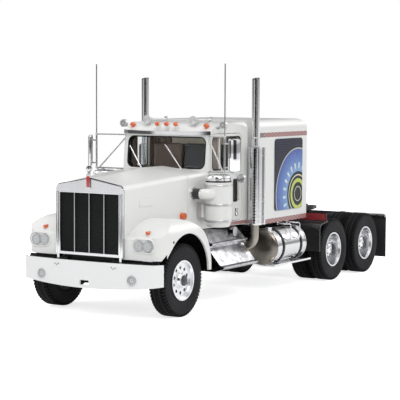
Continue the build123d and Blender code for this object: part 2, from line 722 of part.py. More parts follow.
rake = math.atan2(windshield_rake - 0.5, roof_front[1] - windshield_base)
screen_plane = Plane(origin=(0, station(cab_front + 0.55), windshield_base - 1.0), x_dir=(1, 0, 0),
                     z_dir=(0, -math.cos(rake), math.sin(rake)))
with BuildPart() as windshield:
    with BuildSketch(screen_plane) as screen:
        with Locations((0, (windshield_head - windshield_base) / 2 + 1.0)):
            RectangleRounded(2 * windshield_half - 4 * fit, windshield_head - windshield_base - 6 * fit,
                             windshield_corner)
    extrude(screen.sketch, amount=-glass_thick)
keep(windshield.part, "windshield")

with BuildPart() as cab_floor:
    with BuildSketch(top_view(cab_bottom)):
        with BuildLine():
            gap = wall + fit
            right = [(cowl_half_width - gap, cowl_front + gap), (cab_front_half_width - gap, cab_front + 2),
                     (cab_half_width(cab_rear) - gap - 0.6, cab_rear - gap)]
            Polyline(*right, *[(-x, y) for x, y in reversed(right)], close=True)
        make_face()
    extrude(amount=wall)
keep(cab_floor.part, "cab_floor")

# --- Doors -------------------------------------------------------------------------------
door_thick = 1.5
handle_spot = (30.2, 56.4)
handle_radius = 1.5
glass_inset = 0.4
vent_post = (11.6, 12.3)

door_leaf = door_block(0, 0, door_thick)
window_hole = pane(window_span, (window_low, window_high), 2.6, 3.0, 6.0)
peep_hole = pane(peep_span, peep_z, 1.2, 3.0, 6.0)
window_pane = pane((window_span[0] + fit, window_span[1] - fit), (window_low + fit, window_high - fit),
                   2.6, -glass_inset, glass_inset + glass_thick)
peep_pane = pane((peep_span[0] + fit, peep_span[1] - fit), (peep_z[0] + fit, peep_z[1] - fit), 1.2,
                 -glass_inset, glass_inset + glass_thick)
post_block = pane(vent_post, (window_low - 0.5, window_high + 0.5), 0.2, 0, door_thick)
with BuildPart() as door_left:
    add(door_leaf)
    add(window_hole, mode=Mode.SUBTRACT)
    add(peep_hole, mode=Mode.SUBTRACT)
    add(post_block)
    with BuildSketch(wall_plane.offset(0.9)) as ring:
        with Locations(handle_spot):
            Ellipse(handle_radius * 0.8, handle_radius * 1.4)
            Ellipse(handle_radius * 0.35, handle_radius * 0.95, mode=Mode.SUBTRACT)
    extrude(ring.sketch, amount=-1.0)
keep(door_left.part, "door_left")
keep(mirror(door_left.part, about=Plane.YZ), "door_right")

with BuildPart() as door_glass_left:
    add(window_pane)
    add(peep_pane)
    add(pane((vent_post[0] - fit, vent_post[1] + fit), (window_low - 1, window_high + 1), 0.2, 1, 4),
        mode=Mode.SUBTRACT)
keep(door_glass_left.part, "door_glass_left")
keep(mirror(door_glass_left.part, about=Plane.YZ), "door_glass_right")

# --- Visor, roof lamps, spot lamps, horns and wipers -------------------------------------
visor_z = (106.6, 109.2)
visor_nose = cab_front - 3.8
visor_ends = (33.0, cab_front + 1.6)
marker_lamps = tuple((x, cab_front + behind, z) for x, behind, z in
                     ((-28.0, 4.4, 112.6), (-7.0, 1.6, 113.2), (0.0, 1.6, 113.3), (7.0, 1.6, 113.2),
                      (28.0, 4.4, 112.6)))
marker_radius = 1.35
marker_length = 3.4
spot_lamp = (38.0, cab_front + 9.0, 113.0)
spot_radius = 2.6
horn = (17.6, cab_front + 5.0, 115.6)
horn_bell = 2.9
horn_length = 24.1
horn_tail_y = horn[1] + horn_length
horn_feet = (horn[1] + 4.6, horn_tail_y - 2.5)

with BuildPart() as sun_visor:
    with BuildSketch(top_view(visor_z[0])):
        with BuildLine():
            ThreePointArc((-visor_ends[0], visor_ends[1]), (0, visor_nose), (visor_ends[0], visor_ends[1]))
            Line((visor_ends[0], visor_ends[1]), (visor_ends[0] - 1.5, visor_ends[1] + 1.2))
            Line((visor_ends[0] - 1.5, visor_ends[1] + 1.2), (-visor_ends[0] + 1.5, visor_ends[1] + 1.2))
            Line((-visor_ends[0] + 1.5, visor_ends[1] + 1.2), (-visor_ends[0], visor_ends[1]))
        make_face()
    extrude(amount=visor_z[1] - visor_z[0])
    prism(side_view(-60.0), [(visor_nose - 10, visor_z[0] + 2.2), (visor_nose, visor_z[1] - 0.6),
                             (visor_nose + 10, visor_z[1] + 0.4), (visor_nose + 10, roof_top),
                             (visor_nose - 10, roof_top)], 120.0, mode=Mode.SUBTRACT)
    add(cab_outer, mode=Mode.SUBTRACT)
keep(sun_visor.part, "sun_visor")

with BuildPart() as roof_lamps:
    for lamp_x, lamp_y, lamp_z in marker_lamps:
        rod((lamp_x, lamp_y - marker_length / 2 + 1, lamp_z), (lamp_x, lamp_y + marker_length / 2, lamp_z),
            marker_radius)
        with Locations((lamp_x, station(lamp_y - marker_length / 2 + 1), lamp_z)):
            Sphere(marker_radius)
        bar((lamp_x - 0.8, lamp_x + 0.8), (lamp_y, lamp_y + marker_length / 2 + 1.4), (lamp_z - 4.0, lamp_z))
    add(cab_outer, mode=Mode.SUBTRACT)
keep(roof_lamps.part, "roof_lamps")

with BuildPart() as spot_lamps:
    for side in (-1, 1):
        lamp_x = side * spot_lamp[0]
        rod((lamp_x, spot_lamp[1] - 1.2, spot_lamp[2]), (lamp_x, spot_lamp[1] + 1.2, spot_lamp[2]), spot_radius)
        rod((side * 31.0, spot_lamp[1], 110.4), (lamp_x, spot_lamp[1], spot_lamp[2] - 1.0), 0.6)
    add(cab_outer, mode=Mode.SUBTRACT)
keep(spot_lamps.part, "spot_lamps")

with BuildPart() as air_horns:
    for side in (-1, 1):
        horn_x = side * horn[0]
        with BuildSketch(Plane(origin=(horn_x, station(horn[1]), horn[2]), x_dir=(1, 0, 0), z_dir=(0, 0, 1))) as bell:
            with BuildLine():
                Polyline((0, 0.6), (0, horn_tail_y - horn[1]), (0.9, horn_tail_y - horn[1]), (0.75, 16.0),
                         (1.0, 9.0), (1.5, 4.5), (horn_bell, 0.4), (horn_bell, 0), (horn_bell - 0.5, 0),
                         close=True)
            make_face()
        revolve(bell.sketch, axis=Axis((horn_x, station(horn[1]), horn[2]), (0, 1, 0)))
        rod((horn_x, horn_tail_y - 0.9, horn[2] - 1.0), (horn_x, horn_tail_y - 0.9, horn[2] + 2.0), 1.1)
        for foot in horn_feet:
            bar((horn_x - 0.7, horn_x + 0.7), (foot - 0.7, foot + 0.7), (110.0, horn[2]))
    add(cab_outer, mode=Mode.SUBTRACT)
keep(air_horns.part, "air_horns")

wiper_pivots = (((-17.2, 84.5), (-27.2, 98.8)), ((13.2, 84.9), (0.0, 100.2)))
wiper_radius = 0.45
with BuildPart() as wipers:
    for (foot_x, foot_z), (tip_x, tip_z) in wiper_pivots:
        foot_y = cab_front - 1.4
        tip_y = foot_y + (tip_z - foot_z) * math.tan(rake)
        rod((foot_x, foot_y, foot_z), (tip_x, tip_y, tip_z), wiper_radius)
        rod((foot_x, foot_y, foot_z - 0.3), (foot_x, cab_front + 1.0, foot_z - 0.3), 0.9)
    add(cab_outer, mode=Mode.SUBTRACT)
keep(wipers.part, "wipers")

# --- Inside the cab ----------------------------------------------------------------------
seat_x = 11.8
seat_half = 11.0
seat_base = (cab_front + 10.6, cab_front + 23.6)
seat_low = cab_bottom + wall
seat_cushion = 66.0
seat_back_top = 100.4
dash_z = (66.0, 79.5)
dash_y = (cab_front - 8.4, cab_front + 2.6)
dash_half = cowl_half_width - wall - 0.6
wheel_hub = (seat_x + 3.7, cab_front + 11.6, 80.0)
wheel_ring = 8.2
column_length = 12.0

with BuildPart() as seats:
    for side in (-1, 1):
        prism(side_view(side * seat_x - seat_half),
              [(seat_base[0] + 2, seat_low), (seat_base[1] - 2, seat_low), (seat_base[1] - 1, seat_cushion - 2),
               (seat_base[1] + 1.5, seat_back_top), (seat_base[1] - 2.5, seat_back_top),
               (seat_base[1] - 5.0, seat_cushion + 1.0), (seat_base[0], seat_cushion + 1.0),
               (seat_base[0], seat_cushion - 5)], 2 * seat_half)
keep(seats.part, "seats")

with BuildPart() as dashboard:
    prism(side_view(-dash_half),
          [(dash_y[0], dash_z[0]), (dash_y[1], dash_z[0]), (dash_y[1] + 2, dash_z[1] - 3),
           (dash_y[1] - 1, dash_z[1]), (dash_y[0], dash_z[1])], 2 * dash_half)
    bar((-9.0, 9.0), (dash_y[0], dash_y[1]), (seat_low, dash_z[0] + 1))
keep(dashboard.part, "dashboard")

with BuildPart() as steering_wheel:
    tilt = Plane(origin=(wheel_hub[0], station(wheel_hub[1]), wheel_hub[2]), x_dir=(1, 0, 0),
                 z_dir=(0, 0.75, 0.66))
    with BuildSketch(Plane(origin=tilt.origin, x_dir=tilt.x_dir, z_dir=tilt.y_dir)) as ring:
        with Locations((wheel_ring, 0)):
            Circle(0.6)
    revolve(ring.sketch, axis=Axis(tilt.origin, tilt.z_dir))
    with BuildSketch(tilt.offset(-0.5)) as spokes:
        Circle(1.6)
        for turn in (90, 210, 330):
            with Locations(Location((0, 0, 0), turn)):
                with Locations((wheel_ring / 2, 0)):
                    Rectangle(wheel_ring - 0.2, 1.0)
    extrude(spokes.sketch, amount=0.8)
    with BuildSketch(tilt.offset(-column_length)) as column:
        Circle(1.0)
    extrude(column.sketch, amount=column_length)
    add(dashboard.part, mode=Mode.SUBTRACT)
keep(steering_wheel.part, "steering_wheel")

# --- Sleeper, its side panels and the boot to the cab ------------------------------------
sleeper_wall = 1.5
panel_span = (sleeper_front + 24.5, sleeper_rear - 7.5)
panel_z = (sleeper_bottom + 7.9, sleeper_top - 13.1)
panel_proud = 0.6


def sleeper_body(inset):
    """The sleeper box with rounded roof edges, or its hollow when inset by the wall."""
    half = sleeper_half_width - inset
    high = sleeper_top - inset
    edge = sleeper_edge - inset
    with BuildPart() as body:
        with BuildSketch(front_view(sleeper_front + inset)):
            with BuildLine():
                Polyline((half, high - edge), (half, sleeper_bottom + inset), (-half, sleeper_bottom + inset),
                         (-half, high - edge))
                ThreePointArc((-half, high - edge), (-half + 0.293 * edge, high - 0.293 * edge),
                              (-half + edge, high))
                Line((-half + edge, high), (half - edge, high))
                ThreePointArc((half - edge, high), (half - 0.293 * edge, high - 0.293 * edge),
                              (half, high - edge))
            make_face()
        extrude(amount=-(sleeper_rear - sleeper_front - 2 * inset))
        with BuildSketch(side_view(-half)):
            with BuildLine():
                front, rear, low = sleeper_front + inset, sleeper_rear - inset, sleeper_bottom + inset
                Polyline((rear, high - edge), (rear, low), (front, low), (front, high), (rear - edge, high))
                ThreePointArc((rear - edge, high), (rear - 0.293 * edge, high - 0.293 * edge), (rear, high - edge))
            make_face()
        extrude(amount=2 * half, mode=Mode.INTERSECT)
    return body.part


sleeper_solid = sleeper_body(0)
sleeper_hollow = sleeper_body(sleeper_wall)
with BuildPart() as sleeper_shell:
    add(sleeper_solid)
    add(sleeper_hollow, mode=Mode.SUBTRACT)
    bar((-passage[0], passage[0]), (sleeper_front - 3, sleeper_front + 3), passage[1:], mode=Mode.SUBTRACT)
keep(sleeper_shell.part, "sleeper_shell")

with BuildPart() as sleeper_boot:
    boot = (passage[0] + 8.0, passage[1] - 5.0, passage[2] + 6.0)
    bar((-boot[0], boot[0]), (cab_rear, sleeper_front), boot[1:])
    bar((-passage[0], passage[0]), (cab_rear - 1, sleeper_front + 1), passage[1:], mode=Mode.SUBTRACT)
keep(sleeper_boot.part, "sleeper_boot")

with BuildPart() as side_panels:
    for side in (-1, 1):
        with BuildSketch(side_view(side * sleeper_half_width)) as panel:
            with Locations((sum(panel_span) / 2, sum(panel_z) / 2)):
                RectangleRounded(panel_span[1] - panel_span[0], panel_z[1] - panel_z[0], 2.5)
        extrude(panel.sketch, amount=side * panel_proud)
keep(side_panels.part, "side_panels")

# --- Exhaust: stacks with their shields, and the elbows below ----------------------------
stack = (43.0, cab_rear)
shield_radius = 4.6
shield_z = (47.6, 98.0)
pipe_radius = 2.5
pipe_top = 143.5
elbow_radius = 2.6
elbow_z = 33.5
elbow_bend = 6.5
stack_brackets = (62.0, 92.0)

with BuildPart() as exhaust_stacks:
    for side in (-1, 1):
        rod((side * stack[0], stack[1], shield_z[0]), (side * stack[0], stack[1], shield_z[1]), shield_radius)
        rod((side * stack[0], stack[1], shield_z[1]), (side * stack[0], stack[1], pipe_top), pipe_radius)
        span = sorted((side * (stack[0] - 0.6), side * (stack[0] + 5.0)))
        bar(span, (stack[1] + shield_radius - 1.4, stack[1] + shield_radius + 0.4), shield_z)
        for bracket_z in stack_brackets:
            inner = sorted((side * (sleeper_half_width - 3.4), side * (stack[0] - 2.0)))
            bar(inner, (stack[1] + 2.0, sleeper_front), (bracket_z, bracket_z + 1.6))
    prism(side_view(-60.0), [(stack[1] - 5, pipe_top - 2.4), (stack[1] - 5, pipe_top + 5),
                             (stack[1] + 5, pipe_top + 5), (stack[1] + 5, pipe_top + 0.4)], 120.0,
          mode=Mode.SUBTRACT)
    for side in (-1, 1):
        rod((side * stack[0], stack[1], pipe_top - 16), (side * stack[0], stack[1], pipe_top + 2),
            pipe_radius - 0.5, mode=Mode.SUBTRACT)
keep(exhaust_stacks.part, "exhaust_stacks")

with BuildPart() as exhaust_elbows:
    for side in (-1, 1):
        with BuildLine() as route:
            top = Vector(side * stack[0], station(stack[1]), shield_z[0])
            knee = Vector(side * stack[0], station(stack[1]), elbow_z)
            end = Vector(side * frame_half_width, station(stack[1]), elbow_z)
            FilletPolyline(top, knee, end, radius=elbow_bend)
        with BuildSketch(Plane(origin=top, z_dir=(0, 0, -1))) as pipe:
            Circle(elbow_radius)
        sweep(pipe.sketch, path=route.line)
        rod((side * (stack[0] - elbow_bend - 3), stack[1], elbow_z),
            (side * (stack[0] - elbow_bend - 1), stack[1], elbow_z), elbow_radius + 0.7)
keep(exhaust_elbows.part, "exhaust_elbows")

# --- Air cleaners ------------------------------------------------------------------------
cleaner = (43.2, cab_front - 5.4)
cleaner_radius = 8.5
cleaner_z = (53.0, 78.0)
cleaner_cap = (7.8, 82.6)
intake_z = 71.0
intake_radius = 3.3
intake_y = cleaner[1] - 12.4
cleaner_mount_z = (56.0, 64.0)

with BuildPart() as air_cleaners:
    for side in (-1, 1):
        rod((side * cleaner[0], cleaner[1], cleaner_z[0]), (side * cleaner[0], cleaner[1], cleaner_z[1]),
            cleaner_radius)
    fillet(air_cleaners.edges().group_by(Axis.Z)[0], 2.0)
    for side in (-1, 1):
        mount_x = sorted((side * 31.0, side * 36.5))
        bar(mount_x, (cleaner[1] - 7.5, cleaner[1] + 0.5), cleaner_mount_z)
    add(cab_outer, mode=Mode.SUBTRACT)
keep(air_cleaners.part, "air_cleaners")

with BuildPart() as intake_pipes:
    for side in (-1, 1):
        with BuildLine() as route:
            start = Vector(side * (cowl_half_width - 1.0), station(intake_y), intake_z)
            knee = Vector(side * cleaner[0], station(intake_y), intake_z)
            end = Vector(side * cleaner[0], station(cleaner[1] - 5.0), intake_z)
            FilletPolyline(start, knee, end, radius=5.0)
        with BuildSketch(Plane(origin=start, z_dir=(side, 0, 0))) as hose:
            Circle(intake_radius)
        sweep(hose.sketch, path=route.line)
        rod((side * (cowl_half_width - 1.0), intake_y, intake_z),
            (side * (cowl_half_width + 1.6), intake_y, intake_z), intake_radius + 0.8)
        rod((side * cleaner[0], cleaner[1], cleaner_z[1]), (side * cleaner[0], cleaner[1], cleaner_cap[1]),
            cleaner_cap[0])
    fillet(intake_pipes.edges().group_by(Axis.Z)[-1], 2.4)
    add(cab_outer, mode=Mode.SUBTRACT)
    add(air_cleaners.part, mode=Mode.SUBTRACT)
keep(intake_pipes.part, "intake_pipes")

# --- Mirrors with their arms and whip aerials --------------------------------------------
mirror_post = (48.6, cab_front - 7.2)
mirror_head = (54.6, cab_front - 5.6, 94.9)
mirror_size = (8.0, 2.0, 20.4)
mirror_turn = 59.0
mirror_corner = 1.2
mirror_root = (cab_front_half_width - 0.3, cab_front + 1.6)
mirror_low = 84.2
mirror_high = 106.0
round_mirror = (53.0, cab_front + 5.8, 80.0)
round_radius = 2.8
arm_radius = 0.5
aerial_top = 151.4
aerial_radius = 0.42
ball_radius = 0.9

with BuildPart() as mirrors:
    rod((mirror_post[0], mirror_post[1], mirror_low), (mirror_post[0], mirror_post[1], mirror_high),
        arm_radius + 0.1)
    rod((mirror_post[0], mirror_post[1], mirror_high), (mirror_post[0], mirror_post[1], aerial_top),
        aerial_radius)
    rod((mirror_root[0], mirror_root[1], mirror_high - 0.2), (mirror_post[0], mirror_post[1], mirror_high),
        arm_radius)
    rod((mirror_root[0] - 1, mirror_root[1], mirror_low - 0.6), (mirror_post[0], mirror_post[1], mirror_low),
        arm_radius)
    rod((mirror_root[0], mirror_root[1], mirror_high - 2.4),
        (mirror_post[0] - 1.6, mirror_post[1] + 0.8, mirror_low), arm_radius)
    for ball_z in (mirror_low, mirror_high):
        with Locations((mirror_post[0], station(mirror_post[1]), ball_z)):
            Sphere(ball_radius)
    glass_plane = Plane(origin=(mirror_head[0], station(mirror_head[1]), mirror_head[2]),
                        x_dir=Vector(1, 0, 0).rotate(Axis.Z, mirror_turn),
                        z_dir=Vector(0, 1, 0).rotate(Axis.Z, mirror_turn))
    with BuildSketch(glass_plane.offset(-mirror_size[1] / 2)) as head:
        RectangleRounded(mirror_size[0], mirror_size[2], mirror_corner)
    extrude(head.sketch, amount=mirror_size[1])
    for bracket_z in (mirror_low + 3.0, mirror_high - 4.0):
        rod((mirror_post[0], mirror_post[1], bracket_z), (mirror_head[0], mirror_head[1], bracket_z),
            arm_radius)
    with BuildLine() as route:
        FilletPolyline(Vector(mirror_post[0], station(mirror_post[1]), mirror_low),
                       Vector(round_mirror[0], station(mirror_post[1] + 5.3), mirror_low - 0.4),
                       Vector(round_mirror[0], station(round_mirror[1]), round_mirror[2]), radius=3.0)
    with BuildSketch(Plane(origin=route.line @ 0, z_dir=route.line % 0)) as arm:
        Circle(arm_radius)
    sweep(arm.sketch, path=route.line)
    rod((round_mirror[0], round_mirror[1] - 0.8, round_mirror[2]),
        (round_mirror[0], round_mirror[1] + 0.8, round_mirror[2]), round_radius)
    add(cab_outer, mode=Mode.SUBTRACT)
    mirror(about=Plane.YZ)
keep(mirrors.part, "mirrors")

# --- Step boxes --------------------------------------------------------------------------
step_span = (cab_front - 7.9, cab_rear - 5.5)
step_outline = [(frame_half_width, 47.4), (31.0, 47.4), (38.6, 39.6), (40.6, 39.2), (40.6, 38.0),
                (37.4, 37.2), (37.4, 36.0), (46.4, 25.6), (48.8, 25.0), (48.8, 23.8), (42.0, 21.6),
                (frame_half_width, 21.6)]
step_can = (step_span[1] - 10.5, 44.2, 3.0, 37.6)

with BuildPart() as step_boxes:
    for side in (-1, 1):
        prism(front_view(step_span[0]), [(side * x, z) for x, z in step_outline], step_span[0] - step_span[1])
        rod((side * 26.0, step_can[0], step_can[1]), (side * step_can[3], step_can[0], step_can[1]), step_can[2])
keep(step_boxes.part, "step_boxes")

# --- Fuel tanks, straps and steps --------------------------------------------------------
tank = (36.0, 30.4)
tank_radius = 12.2
tank_front = sleeper_front + 15.0
tank_length = 42.0
tank_span = (tank_front, tank_front + tank_length)
tank_straps_y = (tank_span[0] + 9.0, tank_span[1] - 8.0)
strap_width = 1.8
strap_thick = 0.5
tank_step_z = (18.4, 19.6)
tank_step_span = (tank_span[0] - 4.0, tank_span[1] + 6.0)
tank_step_x = (42.0, 48.4)
hanger_y = (tank_span[0] + 16.5, tank_span[1] - 12.5)
hanger_x = 49.0
hanger_low = 35.0
hanger_radius = 0.5
hanger_bend = 1.4
hanger_foot = 38.6

with BuildPart() as fuel_tanks:
    for side in (-1, 1):
        rod((side * tank[0], tank_span[0], tank[1]), (side * tank[0], tank_span[1], tank[1]), tank_radius)
    fillet(fuel_tanks.edges().filter_by(GeomType.CIRCLE), 1.2)
keep(fuel_tanks.part, "fuel_tanks")

with BuildPart() as tank_brackets:
    for side in (-1, 1):
        for place in tank_straps_y:
            rod((side * tank[0], place - strap_width / 2, tank[1]), (side * tank[0], place + strap_width / 2, tank[1]),
                tank_radius + fit + strap_thick)
            bar(sorted((side * frame_half_width, side * (tank[0] - 6))),
                (place - strap_width / 2, place + strap_width / 2), (19.0, rail_top - 2))
            bar(sorted((side * (tank[0] - 4), side * (tank_step_x[0] + 1))),
                (place + strap_width, place + 2 * strap_width), (tank_step_z[0] - 1.6, tank_step_z[0] + 0.2))
            bar(sorted((side * (tank[0] - 4), side * (tank[0] - 1))),
                (place - strap_width / 2, place + 2 * strap_width),
                (tank_step_z[0] - 1.6, tank[1] - tank_radius - fit - strap_thick / 2))
        rod((side * tank[0], tank_span[0] - 9, tank[1]), (side * tank[0], tank_span[1] + 9, tank[1]),
            tank_radius + fit, mode=Mode.SUBTRACT)
    for side in (-1, 1):
        bar(sorted((side * tank_step_x[0], side * tank_step_x[1])), tank_step_span, tank_step_z)
        reach = (side * hanger_foot, sleeper_bottom - 1.0)
        with BuildLine() as route:
            FilletPolyline(Vector(reach[0], station(hanger_y[0]), reach[1]),
                           Vector(side * hanger_x, station(hanger_y[0]), reach[1]),
                           Vector(side * hanger_x, station(hanger_y[0]), hanger_low),
                           Vector(side * hanger_x, station(hanger_y[1]), hanger_low),
                           Vector(side * hanger_x, station(hanger_y[1]), reach[1]),
                           Vector(reach[0], station(hanger_y[1]), reach[1]), radius=hanger_bend)
        with BuildSketch(Plane(origin=route.line @ 0, z_dir=(side, 0, 0))) as wire:
            Circle(hanger_radius)
        sweep(wire.sketch, path=route.line)
        for place in hanger_y:
            bar(sorted((side * (hanger_foot - 1.6), side * (hanger_foot + 0.6))), (place - 0.9, place + 0.9),
                (sleeper_bottom - 1.8, sleeper_bottom))
keep(tank_brackets.part, "tank_brackets")

# --- Behind the sleeper ------------------------------------------------------------------
tool_box = (37.0, (sleeper_rear + 3.5, sleeper_rear + 12.5), (44.6, 55.4))
board = ((25.0, 50.6), (sleeper_rear + 9.9, sleeper_rear + 10.9), (43.6, 49.0))
quarter = ((25.0, 50.0), sleeper_rear + 1.5, (22.6, 42.4), 1.0)

with BuildPart() as tool_box_part:
    bar((-tool_box[0] + 15, tool_box[0] - 15), tool_box[1], (rail_top, tool_box[2][1]))
    bar((-tool_box[0], tool_box[0]), (tool_box[1][0], tool_box[1][0] + 5), (tool_box[2][1] - 2.8, tool_box[2][1]))
keep(tool_box_part.part, "tool_box")

with BuildPart() as quarter_fenders:
    for side in (-1, 1):
        (low_x, high_x), y, (low_z, high_z), thick = quarter
        span = sorted((side * low_x, side * high_x))
        with BuildSketch(side_view(span[0])) as sheet:
            with BuildLine():
                Line((y, low_z), (y, high_z - 5))
                ThreePointArc((y, high_z - 5), (y + 1.6, high_z - 1.4), (y + 5, high_z))
                Line((y + 5, high_z), (y + 13, high_z + 1.2))
                Line((y + 13, high_z + 1.2), (y + 13, high_z + 1.2 - thick))
                Line((y + 13, high_z + 1.2 - thick), (y + 5, high_z - thick))
                ThreePointArc((y + 5, high_z - thick), (y + 1.6 + 0.7 * thick, high_z - 1.4 - 0.7 * thick),
                              (y + thick, high_z - 5))
                Line((y + thick, high_z - 5), (y + thick, low_z))
                Line((y + thick, low_z), (y, low_z))
            make_face()
        extrude(sheet.sketch, amount=high_x - low_x)
        bar(sorted((side * frame_half_width, side * (low_x + 0.5))), (y + 5.6, y + 8.2), (high_z - 4.0, high_z - 0.4))
        bar(sorted((side * (low_x - 1.6), side * low_x)), (y, y + 3.0), (low_z + 10, high_z - 0.4))
keep(quarter_fenders.part, "quarter_fenders")

with BuildPart() as name_boards:
    for side in (-1, 1):
        bar(sorted((side * board[0][0], side * board[0][1])), board[1], board[2])
    add(quarter_fenders.part, mode=Mode.SUBTRACT)
keep(name_boards.part, "name_boards")

# --- Fifth wheel -------------------------------------------------------------------------
fifth_y = wheelbase + tandem_spacing / 2 - 2.0
fifth_radius = 18.3
fifth_top = 49.4
fifth_thick = 2.2
fifth_slot = 2.1
trunnion_z = 45.0
trunnion_radius = 1.2
fifth_side = 11.0

with BuildPart() as fifth_wheel_base:
    for side in (-1, 1):
        span = sorted((side * (frame_half_width - rail_flange), side * frame_half_width))
        bar(span, (fifth_y - 12, fifth_y + 12), (rail_top, rail_top + 0.8))
        prism(side_view(span[0]), [(fifth_y - 7, rail_top + 0.5), (fifth_y + 7, rail_top + 0.5),
                                   (fifth_y + 2, trunnion_z + 1.2), (fifth_y - 2, trunnion_z + 1.2)],
              span[1] - span[0])
        rod((side * (frame_half_width - rail_flange - 4.0), fifth_y, trunnion_z),
            (side * (frame_half_width - 1), fifth_y, trunnion_z), trunnion_radius)
keep(fifth_wheel_base.part, "fifth_wheel_base")

with BuildPart() as fifth_wheel_plate:
    with BuildSketch(top_view(fifth_top - fifth_thick)) as plate:
        with Locations((0, fifth_y)):
            Circle(fifth_radius)
        with Locations((0, fifth_y + fifth_radius)):
            Rectangle(2 * fifth_radius, 2 * fifth_radius - 12, mode=Mode.SUBTRACT)
        for side in (-1, 1):
            with BuildLine():
                Polyline((side * fifth_slot, fifth_y), (side * 17.0, fifth_y), (side * 15.0, fifth_y + 14.0),
                         (side * 10.0, fifth_y + 16.0), (side * 6.0, fifth_y + 11.0), (side * fifth_slot, fifth_y + 3.0),
                         close=True)
            make_face()
        with Locations((0, fifth_y + 2)):
            SlotCenterPoint((0, 0), (0, 3), 2 * fifth_slot, rotation=0, mode=Mode.SUBTRACT)
    extrude(plate.sketch, amount=fifth_thick)
    for side in (-1, 1):
        ear = sorted((side * (frame_half_width - rail_flange - 3.4), side * (frame_half_width - rail_flange - 1.0)))
        prism(side_view(ear[0]), [(fifth_y - 4, fifth_top - fifth_thick + 0.2), (fifth_y - 2, trunnion_z - 2),
                                  (fifth_y + 2, trunnion_z - 2), (fifth_y + 4, fifth_top - fifth_thick + 0.2)],
              ear[1] - ear[0])
        rod((side * 5.0, fifth_y, trunnion_z), (side * 20.0, fifth_y, trunnion_z), trunnion_radius + fit,
            mode=Mode.SUBTRACT)
keep(fifth_wheel_plate.part, "fifth_wheel_plate")

# --- Mudflaps, hangers and rear lamps ----------------------------------------------------
flap = ((25.6, 51.0), 1.0, (8.6, 40.6))
flap_rear = last_axle + rear_overhang
hanger_bar_radius = 0.8
rear_lamp_z = 37.0
rear_lamp_radius = 2.0
rear_lamps = (4.0, 10.0)

with BuildPart() as mudflaps:
    for side in (-1, 1):
        bar(sorted((side * flap[0][0], side * flap[0][1])), (flap_rear - flap[1], flap_rear), flap[2])
keep(mudflaps.part, "mudflaps")

with BuildPart() as rear_light_bar:
    for side in (-1, 1):
        rod((side * frame_half_width, flap_rear - 2.0, rail_top - 1.0),
            (side * flap[0][1], flap_rear - 2.0, rail_top - 1.0), hanger_bar_radius)
        bar(sorted((side * (frame_half_width - rail_flange), side * frame_half_width)),
            (frame_rear, flap_rear - 1.0), (rail_top - 4, rail_top - 0.2))
        bar(sorted((side * flap[0][0], side * flap[0][1])), (flap_rear - 2.4, flap_rear - flap[1]), (rail_top - 3, rail_top - 1.6))
        for lamp_x in rear_lamps:
            rod((side * lamp_x, frame_rear, rear_lamp_z), (side * lamp_x, flap_rear - 3, rear_lamp_z),
                rear_lamp_radius)
    bar((-frame_half_width, frame_half_width), (frame_rear, frame_rear + 1.2), (rail_bottom + 2, rail_top - 0.2))
keep(rear_light_bar.part, "rear_light_bar")
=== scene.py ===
import bpy
import math
from functools import partialmethod
from mathutils import Matrix, Vector


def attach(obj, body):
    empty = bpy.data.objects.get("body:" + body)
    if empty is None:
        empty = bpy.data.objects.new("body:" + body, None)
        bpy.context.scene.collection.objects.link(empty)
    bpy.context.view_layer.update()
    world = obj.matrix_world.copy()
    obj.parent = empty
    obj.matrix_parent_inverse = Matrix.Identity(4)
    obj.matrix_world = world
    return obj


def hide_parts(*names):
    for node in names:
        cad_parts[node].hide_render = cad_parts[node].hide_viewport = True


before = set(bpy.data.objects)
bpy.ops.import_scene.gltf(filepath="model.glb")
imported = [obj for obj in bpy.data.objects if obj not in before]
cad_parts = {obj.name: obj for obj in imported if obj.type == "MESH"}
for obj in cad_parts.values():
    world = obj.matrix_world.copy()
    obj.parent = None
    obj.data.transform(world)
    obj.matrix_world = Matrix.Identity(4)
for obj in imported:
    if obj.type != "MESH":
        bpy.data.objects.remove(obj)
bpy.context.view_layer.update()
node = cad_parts

# The camera stands in front of the model's left corner at the height of the roof lamps.
# It is a long lens a metre away, so the model's lines hardly converge.
camera_place = Vector((0.5035, -0.8515, 0.1367))
camera_turn = math.radians(31.21)
camera_dip = math.radians(4.60)
camera_roll = math.radians(0.29)
view_back = Vector((math.sin(camera_turn) * math.cos(camera_dip),
                    -math.cos(camera_turn) * math.cos(camera_dip), math.sin(camera_dip)))
view_right = Vector((math.cos(camera_turn), math.sin(camera_turn), 0))
view_up = view_back.cross(view_right)
rolled_right = view_right * math.cos(camera_roll) + view_up * math.sin(camera_roll)
rolled_up = view_up * math.cos(camera_roll) - view_right * math.sin(camera_roll)
lens = bpy.data.cameras.new("camera")
lens.sensor_width = 36.0
lens.lens = 130.36
lens.shift_x = -0.0158
lens.shift_y = 0.0098
lens.clip_start = 0.01
lens.clip_end = 20.0
camera = bpy.data.objects.new("camera", lens)
camera.matrix_world = Matrix.Translation(camera_place) @ Matrix(
    (rolled_right, rolled_up, view_back)).transposed().to_4x4()
scene = bpy.context.scene
scene.collection.objects.link(camera)
scene.camera = camera


# A plain white studio. The surround is white to the eye, in metal and through glass, where
# soft dark flags stand in it so that polished parts show their form. Soft lamps light the model.
def feed(tree, made, wires):
    """Set or wire the inputs of a shader node, by name or number."""
    for key, value in wires.items():
        value = getattr(value, "socket", value)
        if isinstance(value, bpy.types.NodeSocket):
            tree.links.new(value, made.inputs[key])
        else:
            made.inputs[key].default_value = value
    return made


def put(tree, kind, wires=None, **settings):
    """Add a shader node with its settings and inputs."""
    made = tree.nodes.new("ShaderNode" + kind)
    for key, value in settings.items():
        setattr(made, key, value)
    return feed(tree, made, wires or {})


